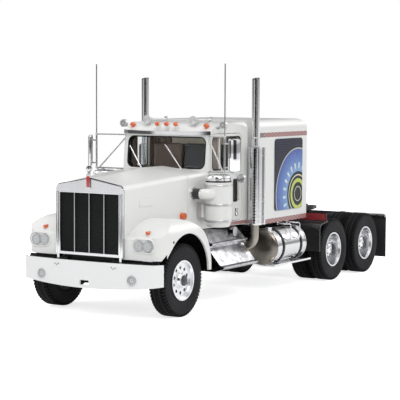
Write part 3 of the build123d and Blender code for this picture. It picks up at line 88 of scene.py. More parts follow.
class Field:
    """A number that varies over a surface; arithmetic on it adds nodes to its material."""

    def __init__(self, tree, socket):
        self.tree, self.socket = tree, socket

    def step(self, operation, other=0.0, **settings):
        """The number put through one step of arithmetic."""
        made = put(self.tree, "Math", {0: self, 1: other}, operation=operation, **settings)
        return Field(self.tree, made.outputs[0])

    def __rsub__(self, other):
        return (self - other) * -1.0

    __add__ = partialmethod(step, "ADD")
    __sub__ = partialmethod(step, "SUBTRACT")
    __mul__ = __and__ = partialmethod(step, "MULTIPLY")
    __truediv__ = partialmethod(step, "DIVIDE")
    __or__ = partialmethod(step, "MAXIMUM")
    __gt__ = partialmethod(step, "GREATER_THAN")
    __lt__ = partialmethod(step, "LESS_THAN")
    __abs__ = partialmethod(step, "ABSOLUTE")


def ramp(value, low, high, start=0.0, end=1.0):
    """A number that goes from start to end while a value goes from low to high."""
    limits = {0: value, 1: low, 2: high, 3: start, 4: end}
    return Field(value.tree, put(value.tree, "MapRange", limits).outputs[0])


scene.view_settings.view_transform = "Standard"
world = bpy.data.worlds.new("studio")
scene.world = world
world.use_nodes = True
sky = world.node_tree
sky.nodes.clear()
paths = put(sky, "LightPath").outputs
sky_x, sky_y, sky_z = [Field(sky, side) for side in put(
    sky, "SeparateXYZ", {0: put(sky, "TexCoord").outputs["Generated"]}).outputs]
flags = put(sky, "ValToRGB", {0: ramp(sky_y.step("ARCTAN2", sky_x), -math.pi, math.pi)})
flags.color_ramp.interpolation = "EASE"
flags.color_ramp.elements[0].color = (1, 1, 1, 1)
for place, value in ((0.045, 0.8), (0.062, 0.1), (0.128, 0.09), (0.145, 0.92), (0.236, 0.95), (0.262, 0.03),
                     (0.405, 0.03), (0.425, 0.75), (0.452, 0.95), (0.468, 0.04), (0.50, 0.05), (0.515, 0.8),
                     (0.66, 1.0), (0.76, 0.95), (0.79, 0.15), (0.87, 0.12), (0.90, 0.95)):
    flags.color_ramp.elements.new(place).color = (value, value, value * 1.01, 1)
card = ramp(sky_z, -0.03, 0.0, 1.0, 0.42) | ramp(sky_z, 0.08, 0.16)
shine_sky, white_sky, fill_sky = [
    put(sky, "Background", {"Color": colour, "Strength": strength}).outputs[0]
    for colour, strength in ((flags.outputs["Color"], card), ((1, 1, 1, 1), 1.0), ((0.97, 0.985, 1, 1), 0.62))]
shining = put(sky, "MixShader", {0: paths["Is Glossy Ray"], 1: fill_sky, 2: shine_sky}).outputs[0]
seen = Field(sky, paths["Is Camera Ray"]) | paths["Is Transmission Ray"]
put(sky, "OutputWorld", {0: put(sky, "MixShader", {0: seen, 1: shining, 2: white_sky}).outputs[0]})

bpy.ops.mesh.primitive_plane_add(size=1.7, location=(0, 0, 0))
floor = bpy.context.object
floor.name = "floor"
floor_paint = bpy.data.materials.new("floor")
floor_paint.use_nodes = True
ground = floor_paint.node_tree
ground.nodes.clear()
ground_paths = put(ground, "LightPath").outputs
floor_in_metal = 0.25
ground_shows = (Field(ground, ground_paths["Is Glossy Ray"]) * floor_in_metal | ground_paths["Is Camera Ray"]
                | ground_paths["Is Transmission Ray"])
ground_matt = put(ground, "BsdfDiffuse", {"Color": (0.9, 0.9, 0.9, 1)}).outputs[0]
ground_glow = put(ground, "Emission", {"Color": (1, 1, 1, 1), "Strength": 0.74}).outputs[0]
ground_white = put(ground, "AddShader", {0: ground_matt, 1: ground_glow}).outputs[0]
ground_mix = put(ground, "MixShader", {0: ground_shows, 1: ground_matt, 2: ground_white}).outputs[0]
put(ground, "OutputMaterial", {"Surface": ground_mix})
floor.data.materials.append(floor_paint)

for name, place, aim, width, power in (("key_lamp", (0.9, -0.9, 1.3), (0, 0, 0.05), 0.9, 9.9),
                                       ("side_lamp", (-1.2, -0.7, 0.8), (0, -0.05, 0.06), 0.8, 4.4),
                                       ("rear_lamp", (0.7, 1.3, 0.9), (0, 0.05, 0.06), 0.8, 4.0),
                                       ("top_lamp", (0.0, -0.1, 1.5), (0, 0, 0.05), 1.0, 4.0)):
    lamp = bpy.data.lights.new(name, "AREA")
    lamp.shape = "DISK"
    lamp.size = width
    lamp.energy = power
    holder = bpy.data.objects.new(name, lamp)
    holder.location = place
    holder.rotation_mode = "QUATERNION"
    holder.rotation_quaternion = (Vector(aim) - Vector(place)).to_track_quat("-Z", "Y")
    scene.collection.objects.link(holder)


# The chassis frame, axles and running gear. They are injection-moulded in black styrene,
# so they carry a fine satin skin with softly cloudy gloss, and they are glued together.
def cloud(tree, scale, detail=2.0):
    """Soft noise through an object."""
    at = put(tree, "TexCoord").outputs["Object"]
    return Field(tree, put(tree, "TexNoise", {"Vector": at, "Scale": scale, "Detail": detail}).outputs[0])


def skin_group():
    """Colour, roughness and height of a moulded skin: fine grain over broad soft cloudiness."""
    group = bpy.data.node_groups.new("moulded_skin", "ShaderNodeTree")
    number, colour = "NodeSocketFloat", "NodeSocketColor"
    for name, kind, value in (("Colour", colour, (0.8, 0.8, 0.8, 1)), ("Shade", number, 0.06), ("Gloss", number, 0.35),
                              ("Spread", number, 0.08), ("Grain", number, 1500.0)):
        group.interface.new_socket(name, in_out="INPUT", socket_type=kind).default_value = value
    for name, kind in (("Colour", colour), ("Roughness", number), ("Height", number)):
        group.interface.new_socket(name, in_out="OUTPUT", socket_type=kind)
    given = group.nodes.new("NodeGroupInput").outputs
    broad = cloud(group, 55.0, 3.0)
    lit = 1.0 - broad * given["Shade"]
    tone = put(group, "VectorMath", {0: given["Colour"], "Scale": lit}, operation="SCALE").outputs[0]
    rough = (ramp(broad, 0.3, 0.7, -1.0, 1.0) * given["Spread"]).step("ADD", given["Gloss"], use_clamp=True)
    feed(group, group.nodes.new("NodeGroupOutput"), {"Colour": tone, "Roughness": rough,
                                                     "Height": cloud(group, given["Grain"])})
    return group


moulded_skin = skin_group()


def moulded(name, colour, gloss=0.38, shade=0.10, spread=0.08, grain=1500.0, bumps=0.15, metal=0.0, coat=0.0,
            shine=0.5):
    """A material of styrene, paint or plating, whose nodes a piece can add to."""
    paint = bpy.data.materials.new(name)
    paint.use_nodes = True
    tree = paint.node_tree
    skin = put(tree, "Group", {"Colour": (*colour, 1), "Shade": shade, "Gloss": gloss, "Spread": spread,
                               "Grain": grain}, node_tree=moulded_skin, name="skin")
    relief = put(tree, "Bump", {"Strength": bumps, "Distance": 0.0001, "Height": skin.outputs["Height"]}, name="relief")
    feed(tree, tree.nodes["Principled BSDF"], {
        "Base Color": skin.outputs["Colour"], "Roughness": skin.outputs["Roughness"], "Normal": relief.outputs[0],
        "Metallic": metal, "Coat Weight": coat, "Coat Roughness": 0.18, "Specular IOR Level": shine})
    return paint


def dress(paint, *names):
    """Give CAD nodes a finished material."""
    for name in names:
        for slot in node[name].material_slots:
            slot.material = paint


chassis_black = moulded("chassis_black", (0.009, 0.009, 0.010), gloss=0.42, shade=0.3, shine=0.22)
dress(chassis_black, "chassis_frame", "front_axle", "knuckle_left", "knuckle_right", "tie_rod", "drive_axles",
      "fifth_wheel_base", "tool_box", "cab_floor", "radiator")
dress(moulded("gear_grey", (0.16, 0.165, 0.17), gloss=0.45, shade=0.35), "engine")
dress(moulded("fender_black", (0.022, 0.022, 0.023), gloss=0.34, shade=0.3, shine=0.5), "quarter_fenders")

# Rail bolts. Short domed heads stand in two rows along the outside of both frame rails. They are
# moulded with the rails, in the same black.
row_zero = 126.2


def place_at(x, behind, z):
    """A point in metres from millimetres across, behind the front axle and up."""
    return Vector((x, behind - row_zero, z)) / 1000


def done():
    """Leave edit mode."""
    bpy.ops.object.mode_set(mode="OBJECT")


def select_faces(test):
    """In edit mode, select the faces whose centre in mm and normal pass a test."""
    bpy.ops.object.mode_set(mode="EDIT")
    bpy.ops.mesh.select_mode(type="FACE")
    bpy.ops.mesh.select_all(action="DESELECT")
    done()
    for face in bpy.context.object.data.polygons:
        face.select = bool(test(face.center * 1000, face.normal))
    bpy.ops.object.mode_set(mode="EDIT")


def new_piece(name, scale=(1, 1, 1)):
    """Name the mesh just added and make its place, turn and size its own."""
    made = bpy.context.object
    made.name = name
    made.scale = scale
    bpy.ops.object.transform_apply(location=True, rotation=True, scale=True)
    return made


def head_of(name, centre, along, radius, length, sides=12, dome=0.4):
    """A short round head or boss on a surface, its outer rim bevelled, standing along an axis."""
    turn = Vector(along).to_track_quat("Z", "Y").to_euler()
    bpy.ops.mesh.primitive_cylinder_add(vertices=sides, radius=radius / 1000, depth=length / 1000,
                                        location=centre, rotation=turn)
    made = new_piece(name)
    outer = centre * 1000 + Vector(along).normalized() * length / 2
    select_faces(lambda middle, normal: (middle - outer).length < 0.01)
    bpy.ops.mesh.bevel(offset=radius * dome / 1000, segments=2, affect="EDGES")
    done()
    return made


def take(*pieces):
    """Select these pieces and no others, with the first one active."""
    bpy.ops.object.select_all(action="DESELECT")
    for piece in pieces:
        piece.select_set(True)
    bpy.context.view_layer.objects.active = pieces[0]


def join(name, pieces):
    """Glue several meshes into one piece."""
    take(*pieces)
    if len(pieces) > 1:
        bpy.ops.object.join()
    pieces[0].name = name
    return pieces[0]


def fit_to(piece, body, paint, replaced=()):
    """Paint a piece, round its shading, and say which body carries it."""
    piece.data.materials.clear()
    piece.data.materials.append(paint)
    take(piece)
    bpy.ops.object.shade_smooth_by_angle(angle=math.radians(38))
    piece.data.name = piece.name
    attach(piece, body)
    for name in replaced:
        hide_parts(name)


first_bolt, bolt_pitch, bolt_count = 98.0, 8.1, 22
rail_side = 17.35
rail_heads = [head_of("head", place_at(side * rail_side, first_bolt + number * bolt_pitch, z), (side, 0, 0),
                      0.55, 0.5, sides=8)
              for side in (-1, 1) for number in range(bolt_count) for z in (34.4, 39.2)]
fit_to(join("rail_bolts", rail_heads), "chassis", chassis_black)


# Tyres. They are soft black vinyl, moulded with ribs, a lugged shoulder and a smooth wall with
# one fine ring. Each is one piece, pressed over its rim.
def take_all():
    """In edit mode, select the whole mesh."""
    bpy.ops.object.mode_set(mode="EDIT")
    bpy.ops.mesh.select_all(action="SELECT")


def turn_on_lathe(name, outline, steps):
    """Draw an outline of (x, radius) in mm, then spin it about the X axis through the origin."""
    bpy.ops.mesh.primitive_plane_add(size=0.001, location=(0, 0, 0))
    made = new_piece(name)
    take_all()
    bpy.ops.mesh.select_mode(type="VERT")
    take_all()
    bpy.ops.mesh.merge(type="CENTER")
    x, radius = outline[0]
    bpy.ops.transform.translate(value=(x / 1000, radius / 1000, 0))
    for (x, radius), (next_x, next_radius) in zip(outline, outline[1:]):
        bpy.ops.mesh.extrude_region_move(
            TRANSFORM_OT_translate={"value": ((next_x - x) / 1000, (next_radius - radius) / 1000, 0)})
    take_all()
    bpy.ops.mesh.spin(steps=steps, angle=2 * math.pi, center=(0, 0, 0), axis=(1, 0, 0))
    take_all()
    bpy.ops.mesh.remove_doubles(threshold=0.00001)
    bpy.ops.mesh.normals_make_consistent(inside=False)
    done()
    return made


def stand(piece, spot, angle=0.0, axis="Z"):
    """Turn a piece's mesh about an axis through the origin, then move it to a spot in metres."""
    piece.data.transform(Matrix.Translation(spot) @ Matrix.Rotation(angle, 4, axis))
    return piece


def copy_to(master, name, place, turn=0.0, axis="Z"):
    """A copy with its own mesh, turned about an axis in degrees and then moved to a place."""
    made = bpy.data.objects.new(name, master.data.copy())
    scene.collection.objects.link(made)
    return stand(made, place, math.radians(turn), axis)


tyre_outline = [(4.48, 12.15), (5.1, 12.9), (5.35, 13.7), (5.25, 14.2), (5.5, 15.4), (5.6, 17.5), (5.5, 19.2),
                (5.42, 20.0), (5.32, 20.75), (4.75, 21.95), (3.75, 22.0), (3.45, 22.0), (3.35, 21.2), (2.95, 21.2),
                (2.85, 22.0), (1.05, 22.0), (0.95, 21.2), (0.5, 21.2), (0.4, 22.0)]
tyre_outline = tyre_outline + [(-x, radius) for x, radius in reversed(tyre_outline)] + [(4.48, 12.15)]
lug_count = 62
tyre = turn_on_lathe("tyre_master", tyre_outline, 2 * lug_count)
lug_turn = 2 * math.pi / lug_count
lug_inner, lug_low = 3.5, 19.9


def in_notch(centre, normal):
    """Whether a face lies in a notch between two lugs of the shoulder."""
    angle = math.atan2(centre.z, centre.y) % lug_turn
    return angle < lug_turn / 2 and abs(centre.x) > lug_inner and math.hypot(centre.y, centre.z) > lug_low


select_faces(in_notch)
bpy.ops.mesh.inset(thickness=0.0001, use_boundary=True)
bpy.ops.transform.shrink_fatten(value=-0.0008)
done()


def sides_of(paint, output=None):
    """A point's X, Y and Z in mm, with Y from the front axle, or a vector's own three sides."""
    tree = getattr(paint, "node_tree", paint)
    if output is None:
        at = put(tree, "TexCoord").outputs["Object"]
        shifted = put(tree, "VectorMath", {0: at, 1: (0, row_zero / 1000, 0)}, operation="ADD").outputs[0]
        output = put(tree, "VectorMath", {0: shifted, "Scale": 1000.0}, operation="SCALE").outputs[0]
    return [Field(tree, side) for side in put(tree, "SeparateXYZ", {0: output}).outputs]


def distance(first, second):
    """How far a point lies from the origin of two fields."""
    return (first * first + second * second).step("SQRT")


def between(value, low, high, soft=0.06):
    """A mask that is 1 while a value lies between two limits."""
    return ramp(value, low - soft, low + soft) & ramp(value, high - soft, high + soft, 1.0, 0.0)


def over(mask, under, top):
    """Lay one colour over another where the mask is 1."""
    under, top = [value if isinstance(value, bpy.types.NodeSocket) else (*value, 1) for value in (under, top)]
    return put(mask.tree, "Mix", {"Factor": mask, 6: under, 7: top}, data_type="RGBA").outputs[2]


def banded(value, colour, bands):
    """Lay colours over a colour wherever a value lies between two limits."""
    for low, high, soft, tint in bands:
        colour = over(between(value, low, high, soft), colour, tint)
    return colour


def colour_of(paint):
    """A material's own colour, to lay others over."""
    return paint.node_tree.nodes["skin"].outputs["Colour"]


def wire(paint, colour, rough=None, metal=None, height=None):
    """Lead finished colours and numbers into a material's shader."""
    nodes = paint.node_tree.nodes
    for value, key, made in ((colour, "Base Color", nodes["Principled BSDF"]),
                             (rough, "Roughness", nodes["Principled BSDF"]),
                             (metal, "Metallic", nodes["Principled BSDF"]), (height, "Height", nodes["relief"])):
        if value is not None:
            feed(paint.node_tree, made, {key: value})


def tyre_vinyl(name, behind):
    """Vinyl for the tyres on one axle: a greyer wall with a faint ring line, and painted shade darkening the tread and
    the bead beside the rim.
    """
    vinyl = moulded(name, (0.018, 0.018, 0.020), gloss=0.62, shade=0.3, grain=2400.0, bumps=0.3, shine=0.15)
    x, y, z = sides_of(vinyl)
    out = distance(y - behind, z - axle_z)
    colour = over(between(out, 18.9, 19.3, 0.15), colour_of(vinyl), (0.016, 0.016, 0.017))
    # Painted shade: the tread and the bead beside the rim are darkened.
    colour = over(ramp(out, 20.4, 21.3), colour, (0.009, 0.009, 0.010))
    wire(vinyl, over(out < 12.6, colour, (0.012, 0.012, 0.013)))
    return vinyl


axle_z = 22.0
drive_axle_1, drive_axle_2 = 201.4, 254.7
hands = ((1, "left"), (-1, "right"))
half_turn = {1: 0, -1: 180}
for stem, behind, places, body in (("front_tyre", 0.0, (43.0,), "front_wheel"),
                                   ("drive_tyres_1", drive_axle_1, (29.8, 43.2), "drive_wheels_1"),
                                   ("drive_tyres_2", drive_axle_2, (29.8, 43.2), "drive_wheels_2")):
    tyre_rubber = tyre_vinyl(f"{stem}_vinyl", behind)
    for side, hand in hands:
        rings = [copy_to(tyre, "ring", place_at(side * x, behind, axle_z), half_turn[side]) for x in places]
        fit_to(join(f"{stem}_{hand}_tread", rings), f"{body}_{hand}", tyre_rubber, [f"{stem}_{hand}"])
bpy.data.objects.remove(tyre)

# Rims and hubs. The rims are chrome-plated with round hand holes. A ring of nuts is moulded on
# each disc, a plated step carries the hub, and the front hubs end in a dark oil cap.
rim_silver = moulded("rim_silver", (0.88, 0.88, 0.90), gloss=0.34, shade=0.06, spread=0.05, bumps=0.08, metal=1.0)
rim_chrome = moulded("rim_chrome", (0.86, 0.86, 0.875), gloss=0.22, shade=0.1, spread=0.05, bumps=0.08, metal=1.0)
hub_chrome = moulded("hub_chrome", (0.90, 0.90, 0.91), gloss=0.12, shade=0.1, spread=0.05, metal=1.0)
cap_dark = moulded("cap_dark", (0.020, 0.021, 0.024), gloss=0.25, shade=0.3, coat=0.4)
for rim_paint, inner in ((rim_silver, 43.4), (rim_chrome, 35.6)):
    x, y, z = sides_of(rim_paint)
    shadowed = abs(x) < inner
    wire(rim_paint, over(shadowed, colour_of(rim_paint), (0.014, 0.014, 0.015)), ramp(shadowed, 0, 1, 0.28, 0.6),
         ramp(shadowed, 0, 1, 1.0, 0.0))
dress(rim_silver, "front_rim_left", "front_rim_right")
dress(rim_chrome, "drive_rims_1_left", "drive_rims_1_right", "drive_rims_2_left", "drive_rims_2_right")
nut = head_of("nut_master", Vector((0, 0, 0)), (1, 0, 0), 0.55, 1.0, sides=6, dome=0.3)
hub_step = turn_on_lathe("hub_step", [(0.0, 3.3), (0.0, 5.2), (0.5, 5.0), (0.7, 4.5), (1.3, 4.2), (1.9, 3.9),
                                      (2.1, 3.3), (0.0, 3.3)], 40)
hub_cap = turn_on_lathe("hub_cap", [(0.0, 3.25), (0.35, 3.15), (0.5, 2.5), (0.45, 1.5), (0.9, 1.1), (0.95, 0.0)], 32)
hub_drum = turn_on_lathe("hub_drum", [(0.0, 4.6), (4.6, 4.9), (4.8, 6.2), (5.6, 6.2), (5.9, 5.8), (5.9, 4.2),
                                      (6.6, 3.9), (8.0, 3.6), (8.5, 3.0), (8.6, 1.4), (8.2, 1.1), (8.2, 0.0)], 40)
nut_angles = [2 * math.pi * number / 10 for number in range(10)]
nut_stand, cap_x = 0.35, 48.95
for body, piece, behind, disc_x, nut_circle, core, core_x in (
        ("front_wheel", "front_hub_step", 0.0, 46.2, 4.75, hub_step, 46.2),
        ("drive_wheels_1", "drive_hub_1_drum", drive_axle_1, 43.1, 5.05, hub_drum, 37.2),
        ("drive_wheels_2", "drive_hub_2_drum", drive_axle_2, 43.1, 5.05, hub_drum, 37.2)):
    for side, hand in hands:
        turn = half_turn[side]
        parts = [copy_to(core, "core", place_at(side * core_x, behind, axle_z), turn)]
        parts += [copy_to(nut, "nut", place_at(side * (disc_x + nut_stand), behind + nut_circle * math.cos(angle),
                                               axle_z + nut_circle * math.sin(angle)), turn) for angle in nut_angles]
        fit_to(join(f"{piece}_{hand}", parts), f"{body}_{hand}", hub_chrome)
        if core is hub_step:
            cap = copy_to(hub_cap, f"front_hub_cap_{hand}", place_at(side * cap_x, behind, axle_z), turn)
            fit_to(cap, f"{body}_{hand}", cap_dark)
for used in (nut, hub_step, hub_cap, hub_drum):
    bpy.data.objects.remove(used)


# The bumper. It is one curved white moulding, with a clear lamp in a silver ring at each end,
# and black splash aprons close the gap behind it.
def block(name, x_span, behind_span, z_span, soften, steps=2):
    """A moulded block between three spans in mm, with its edges rounded."""
    low = place_at(min(x_span), min(behind_span), min(z_span))
    high = place_at(max(x_span), max(behind_span), max(z_span))
    bpy.ops.mesh.primitive_cube_add(size=1.0, location=(low + high) / 2)
    made = new_piece(name, high - low)
    take_all()
    bpy.ops.mesh.bevel(offset=soften / 1000, segments=steps, affect="EDGES")
    done()
    return made


def turned(name, outline, steps, spots, axis="Z"):
    """Turn a piece on the lathe and set copies of it at spots, each a place and a turn in degrees."""
    master = turn_on_lathe(name, outline, steps)
    copies = [copy_to(master, name, place, turn, axis) for place, turn in spots]
    bpy.data.objects.remove(master)
    return copies


def body_paint(name, colour=(0.775, 0.775, 0.755)):
    """The white of the body mouldings."""
    return moulded(name, colour, gloss=0.32, shade=0.03, spread=0.02, bumps=0.04, coat=0.25)


bumper_lamp_x, bumper_lamp_z = 32.8, 24.2
dress(body_paint("bumper_white", (0.82, 0.82, 0.815)), "front_bumper")
bumper_lens = moulded("bumper_lens", (0.64, 0.65, 0.66), gloss=0.16, coat=0.6)
x, y, z = sides_of(bumper_lens)
out = distance(abs(x) - bumper_lamp_x, z - bumper_lamp_z)
wire(bumper_lens, banded(out, colour_of(bumper_lens), ((1.35, 1.95, 0.15, (0.34, 0.35, 0.36)),
                                                       (-1.0, 0.35, 0.12, (0.2, 0.2, 0.21)))))
dress(bumper_lens, "bumper_lamps")
aprons = [block("apron", (side * 18.0, side * 47.0), (-24.9, -24.1), (32.7, 35.0), 0.2) for side in (-1, 1)]
aprons += [block("apron", (side * 24.6, side * 45.4), (-27.6, -27.1), (29.5, 34.2), 0.15) for side in (-1, 1)]
aprons.append(block("backing", (-5.5, 5.5), (-30.2, -29.4), (20.4, 24.6), 0.2))
fit_to(join("splash_aprons", aprons), "chassis", chassis_black)
first_pin_x, pin_face, bumper_curve = 19.4, -33.25, 0.07
pins = [head_of("pin", place_at(side * pin_x, pin_face + (pin_x - first_pin_x) * bumper_curve, pin_z), (0, -1, 0),
                0.38, 0.7, sides=10)
        for side in (-1, 1) for pin_x, pin_z in ((first_pin_x, 31.2), (20.6, 30.4), (22.0, 31.0))]
bumper_rings = turned(
    "ring", [(-0.3, 2.45), (0.35, 2.45), (0.55, 2.65), (0.45, 2.95), (-0.3, 3.05), (-0.3, 2.45)], 32,
    [(place_at(side * bumper_lamp_x, -32.2, bumper_lamp_z), side * 4 - 90) for side in (-1, 1)])
lamp_silver = moulded("lamp_silver", (0.60, 0.60, 0.61), gloss=0.4, shade=0.1, metal=0.7)
fit_to(join("bumper_lamp_rings", bumper_rings), "chassis", lamp_silver)
pin_grey = moulded("pin_grey", (0.30, 0.30, 0.31), gloss=0.4, metal=0.4)
fit_to(join("bumper_pins", pins), "chassis", pin_grey)


# The hood and its fenders. They are one white moulding that tilts forward, with painted black
# shade inside the wheel arches, a blank raised badge plate on each side and a marker stud on each fender.
def facing_of(paint):
    """The X, Y and Z of the way a surface faces."""
    tree = getattr(paint, "node_tree", paint)
    return sides_of(tree, put(tree, "NewGeometry").outputs["Normal"])


def lean_about(piece, pivot, angle, axis="Z"):
    """Turn a piece's mesh about an axis through a point in metres."""
    piece.data.transform(Matrix.Translation(pivot) @ Matrix.Rotation(angle, 4, axis) @ Matrix.Translation(-pivot))


hood_white = body_paint("hood_white")
x, y, z = sides_of(hood_white)
face_y, face_z = facing_of(hood_white)[1:]
out = distance(y, z - axle_z)
inward = (face_y * y + face_z * (z - axle_z)) / out
# Painted shade: inside the wheel arches the white is painted near-black, with its shine and coat turned down.
arch_painted_shade = (inward < -0.35) & (out < 34.5) & (abs(x) < 49.7)
wire(hood_white, over(arch_painted_shade, colour_of(hood_white), (0.004, 0.004, 0.004)))
tree = hood_white.node_tree
feed(tree, tree.nodes["Principled BSDF"], {"Specular IOR Level": ramp(arch_painted_shade, 0, 1, 0.5, 0.02),
                                           "Coat Weight": ramp(arch_painted_shade, 0, 1, 0.25, 0.02)})
dress(hood_white, "hood_shell")
hood_lean = math.atan2(31.5 - 23.9, 58.5)
plates = []
for side in (-1, 1):
    plates.append(block("plate", (side * 25.9, side * 26.9), (-13.6, -1.6), (65.7, 70.0), 0.3))
    lean_about(plates[-1], place_at(side * 26.4, -7.6, 68), -side * hood_lean)
fit_to(join("side_badge_plates", plates), "hood", body_paint("plate_white"))
studs = [head_of("stud", place_at(side * 50.9, -14.9, 46.2), (side, 0, 0), 0.75, 0.9, sides=16) for side in (-1, 1)]
fit_to(join("fender_studs", studs), "hood", cap_dark)

# The grille. A chrome surround holds a black louvred core behind three thin bars; bright half
# beads run down its posts, and a red enamel crest tops it. The chrome carries painted shade and
# painted dark reflection: a dark band by the hood seam, a darkened top and a shadow line under the brow lip.
chrome = moulded("plated_chrome", (0.90, 0.90, 0.915), gloss=0.09, shade=0.08, spread=0.04, bumps=0.05, metal=1.0)
grille_chrome = moulded("grille_chrome", (0.74, 0.74, 0.755), gloss=0.14, shade=0.06, spread=0.04, bumps=0.04,
                        metal=1.0)
x, y, z = sides_of(grille_chrome)
brow_fall = 0.1729
# Painted shade and painted dark reflection: a dark band along the back edge by the hood.
colour = over(between(y, -27.75, -26.0, 0.1), colour_of(grille_chrome), (0.30, 0.30, 0.31))
# Painted reflection: the upward-facing top of the surround is darkened.
colour = over((facing_of(grille_chrome)[2] > 0.35) & (z > 75.0), colour, (0.07, 0.07, 0.075))
colour = over((abs(x) < 21.0) & between(z, 38.2, 73.8), colour, (0.36, 0.36, 0.37))
# Painted shadow: a dark line under the brow's rolled lip.
lip = between(z + abs(x) * brow_fall, 82.4, 83.2) & (abs(x) < 22.2)
wire(grille_chrome, over(lip, colour, (0.09, 0.09, 0.095)))
dress(grille_chrome, "grille_surround")
dress(moulded("grille_black", (0.012, 0.013, 0.013), gloss=0.6, shade=0.2, shine=0.12), "grille_core")


def rod_between(name, start, end, radius, sides=12):
    """A round bar between two points in metres, its outer end rounded off."""
    along = end - start
    return head_of(name, start + along / 2, along, radius, along.length * 1000, sides, 0.5)


beads = [rod_between("bead", place_at(side * bead_x, behind, low), place_at(side * bead_x, behind, high), radius, 10)
         for side in (-1, 1)
         for bead_x, behind, low, high, radius in ((22.5, -28.75, 36.9, 74.5, 0.42), (23.75, -28.75, 36.9, 74.5, 0.42),
                                                   (21.5, -28.6, 38.1, 73.9, 0.28))]
beads += [rod_between("bead", place_at(-21.5, -28.6, bead_z), place_at(21.5, -28.6, bead_z), 0.28, 10)
          for bead_z in (38.0, 74.0)]
fit_to(join("grille_beads", beads), "hood", chrome)
crest = block("crest", (-1.15, 1.15), (-30.05, -28.6), (77.4, 84.0), 0.45, 3)
fit_to(crest, "hood", moulded("crest_enamel", (0.52, 0.035, 0.04), gloss=0.16, shade=0.25, coat=0.6))

# The headlamps. A pair of clear round lenses sits in each pod, every lens in a silver ring and
# each pair in a raised oval bezel; the lenses are moulded with fine upright ribs. The small
# lamps on the pods and on the cowl are amber.
lens_clear = moulded("lens_clear", (0.55, 0.56, 0.57), gloss=0.14, shade=0.2, coat=0.8)
x, y, z = sides_of(lens_clear)
pair_x, half_pair, lens_z = 37.5, 3.1, 44.25
out = distance(abs(abs(x) - pair_x) - half_pair, z - lens_z)
tree = lens_clear.node_tree
ribs = put(tree, "TexWave", {"Vector": put(tree, "TexCoord").outputs["Object"], "Scale": 420.0},
           bands_direction="X").outputs[0]
wire(lens_clear, banded(out, colour_of(lens_clear), ((1.5, 2.3, 0.3, (0.40, 0.41, 0.42)),
                                                     (-1.0, 0.5, 0.2, (0.30, 0.30, 0.31)))), height=ribs)
dress(lens_clear, "headlamps")


def rounded_frame(name, width, height, corner, band, depth):
    """A frame with rounded corners standing in XZ about the origin; its band is inside the given size."""
    bpy.ops.mesh.primitive_plane_add(size=1.0, rotation=(math.pi / 2, 0, 0))
    made = new_piece(name, (width / 1000, height / 1000, 1))
    take_all()
    bpy.ops.mesh.bevel(offset=corner / 1000, segments=6, affect="VERTICES")
    take_all()
    bpy.ops.mesh.select_mode(type="FACE")
    bpy.ops.mesh.inset(thickness=band / 1000, use_boundary=True)
    bpy.ops.mesh.delete(type="FACE")
    take_all()
    bpy.ops.mesh.extrude_region_move(TRANSFORM_OT_translate={"value": (0, depth / 1000, 0)})
    take_all()
    bpy.ops.mesh.normals_make_consistent(inside=False)
    bpy.ops.mesh.bevel(offset=min(band, depth) * 0.22 / 1000, segments=1, affect="EDGES")
    done()
    return made


bezels = [stand(rounded_frame("bezel", 16.6, 8.8, 4.2, 0.75, 1.0), place_at(side * 37.6, -27.3, 44.3))
          for side in (-1, 1)]
lens_rings = turned(
    "ring", [(-0.3, 2.6), (0.3, 2.6), (0.45, 2.85), (0.3, 3.15), (-0.3, 3.2), (-0.3, 2.6)], 32,
    [(place_at(side * ring_x, -27.35, ring_z), -90)
     for side in (-1, 1) for ring_x, ring_z in ((34.4, 44.3), (40.6, 44.2))])
fit_to(join("headlamp_bezels", bezels), "hood", body_paint("bezel_white"))
lens_grey = moulded("lens_ring_grey", (0.46, 0.47, 0.47), gloss=0.3, shade=0.15, metal=0.2)
fit_to(join("headlamp_rings", lens_rings), "hood", lens_grey)
dress(moulded("amber_lens", (0.78, 0.13, 0.022), gloss=0.2, shade=0.25, coat=0.5), "hood_lamps")

# The cab. A white moulding with separate doors, and a thin printed band of red and grey squares
# along its sill; the dash and the wheel inside are dark styrene.
stripe_red = (0.36, 0.085, 0.090)
stripe_pale = (0.33, 0.275, 0.255)
stripe_dark = (0.17, 0.155, 0.155)
square_rows, square_length = 3.0, 2.6


def stripe_group():
    """A printed band of squares: gives its mask and its colour."""
    group = bpy.data.node_groups.new("square_band", "ShaderNodeTree")
    for name in ("Low", "High", "Front", "Grey to"):
        group.interface.new_socket(name, in_out="INPUT", socket_type="NodeSocketFloat")
    for name, kind in (("Mask", "NodeSocketFloat"), ("Colour", "NodeSocketColor")):
        group.interface.new_socket(name, in_out="OUTPUT", socket_type=kind)
    low, high, front, grey_to = [Field(group, socket) for socket in group.nodes.new("NodeGroupInput").outputs[:4]]
    x, y, z = sides_of(group)
    share = (z - low) / (high - low)
    row = (share * square_rows).step("FLOOR")
    odd = (row + ((y - front) / square_length).step("FLOOR")).step("PINGPONG", 1.0)
    colour = over(y < grey_to, over(odd, stripe_red, stripe_pale), stripe_dark)
    mask = (share > 0.0) & (share < 1.0) & (y > front) & (abs(facing_of(group)[0]) > 0.6)
    feed(group, group.nodes.new("NodeGroupOutput"), {"Mask": mask, "Colour": colour})
    return group


square_band = stripe_group()


def print_band(paint, under, low, high, front, grey_to):
    """Print a band on a body material, over the colour given, and return the colour."""
    band = put(paint.node_tree, "Group", {"Low": low, "High": high, "Front": front, "Grey to": grey_to},
               node_tree=square_band)
    return over(Field(paint.node_tree, band.outputs["Mask"]), under, band.outputs["Colour"])


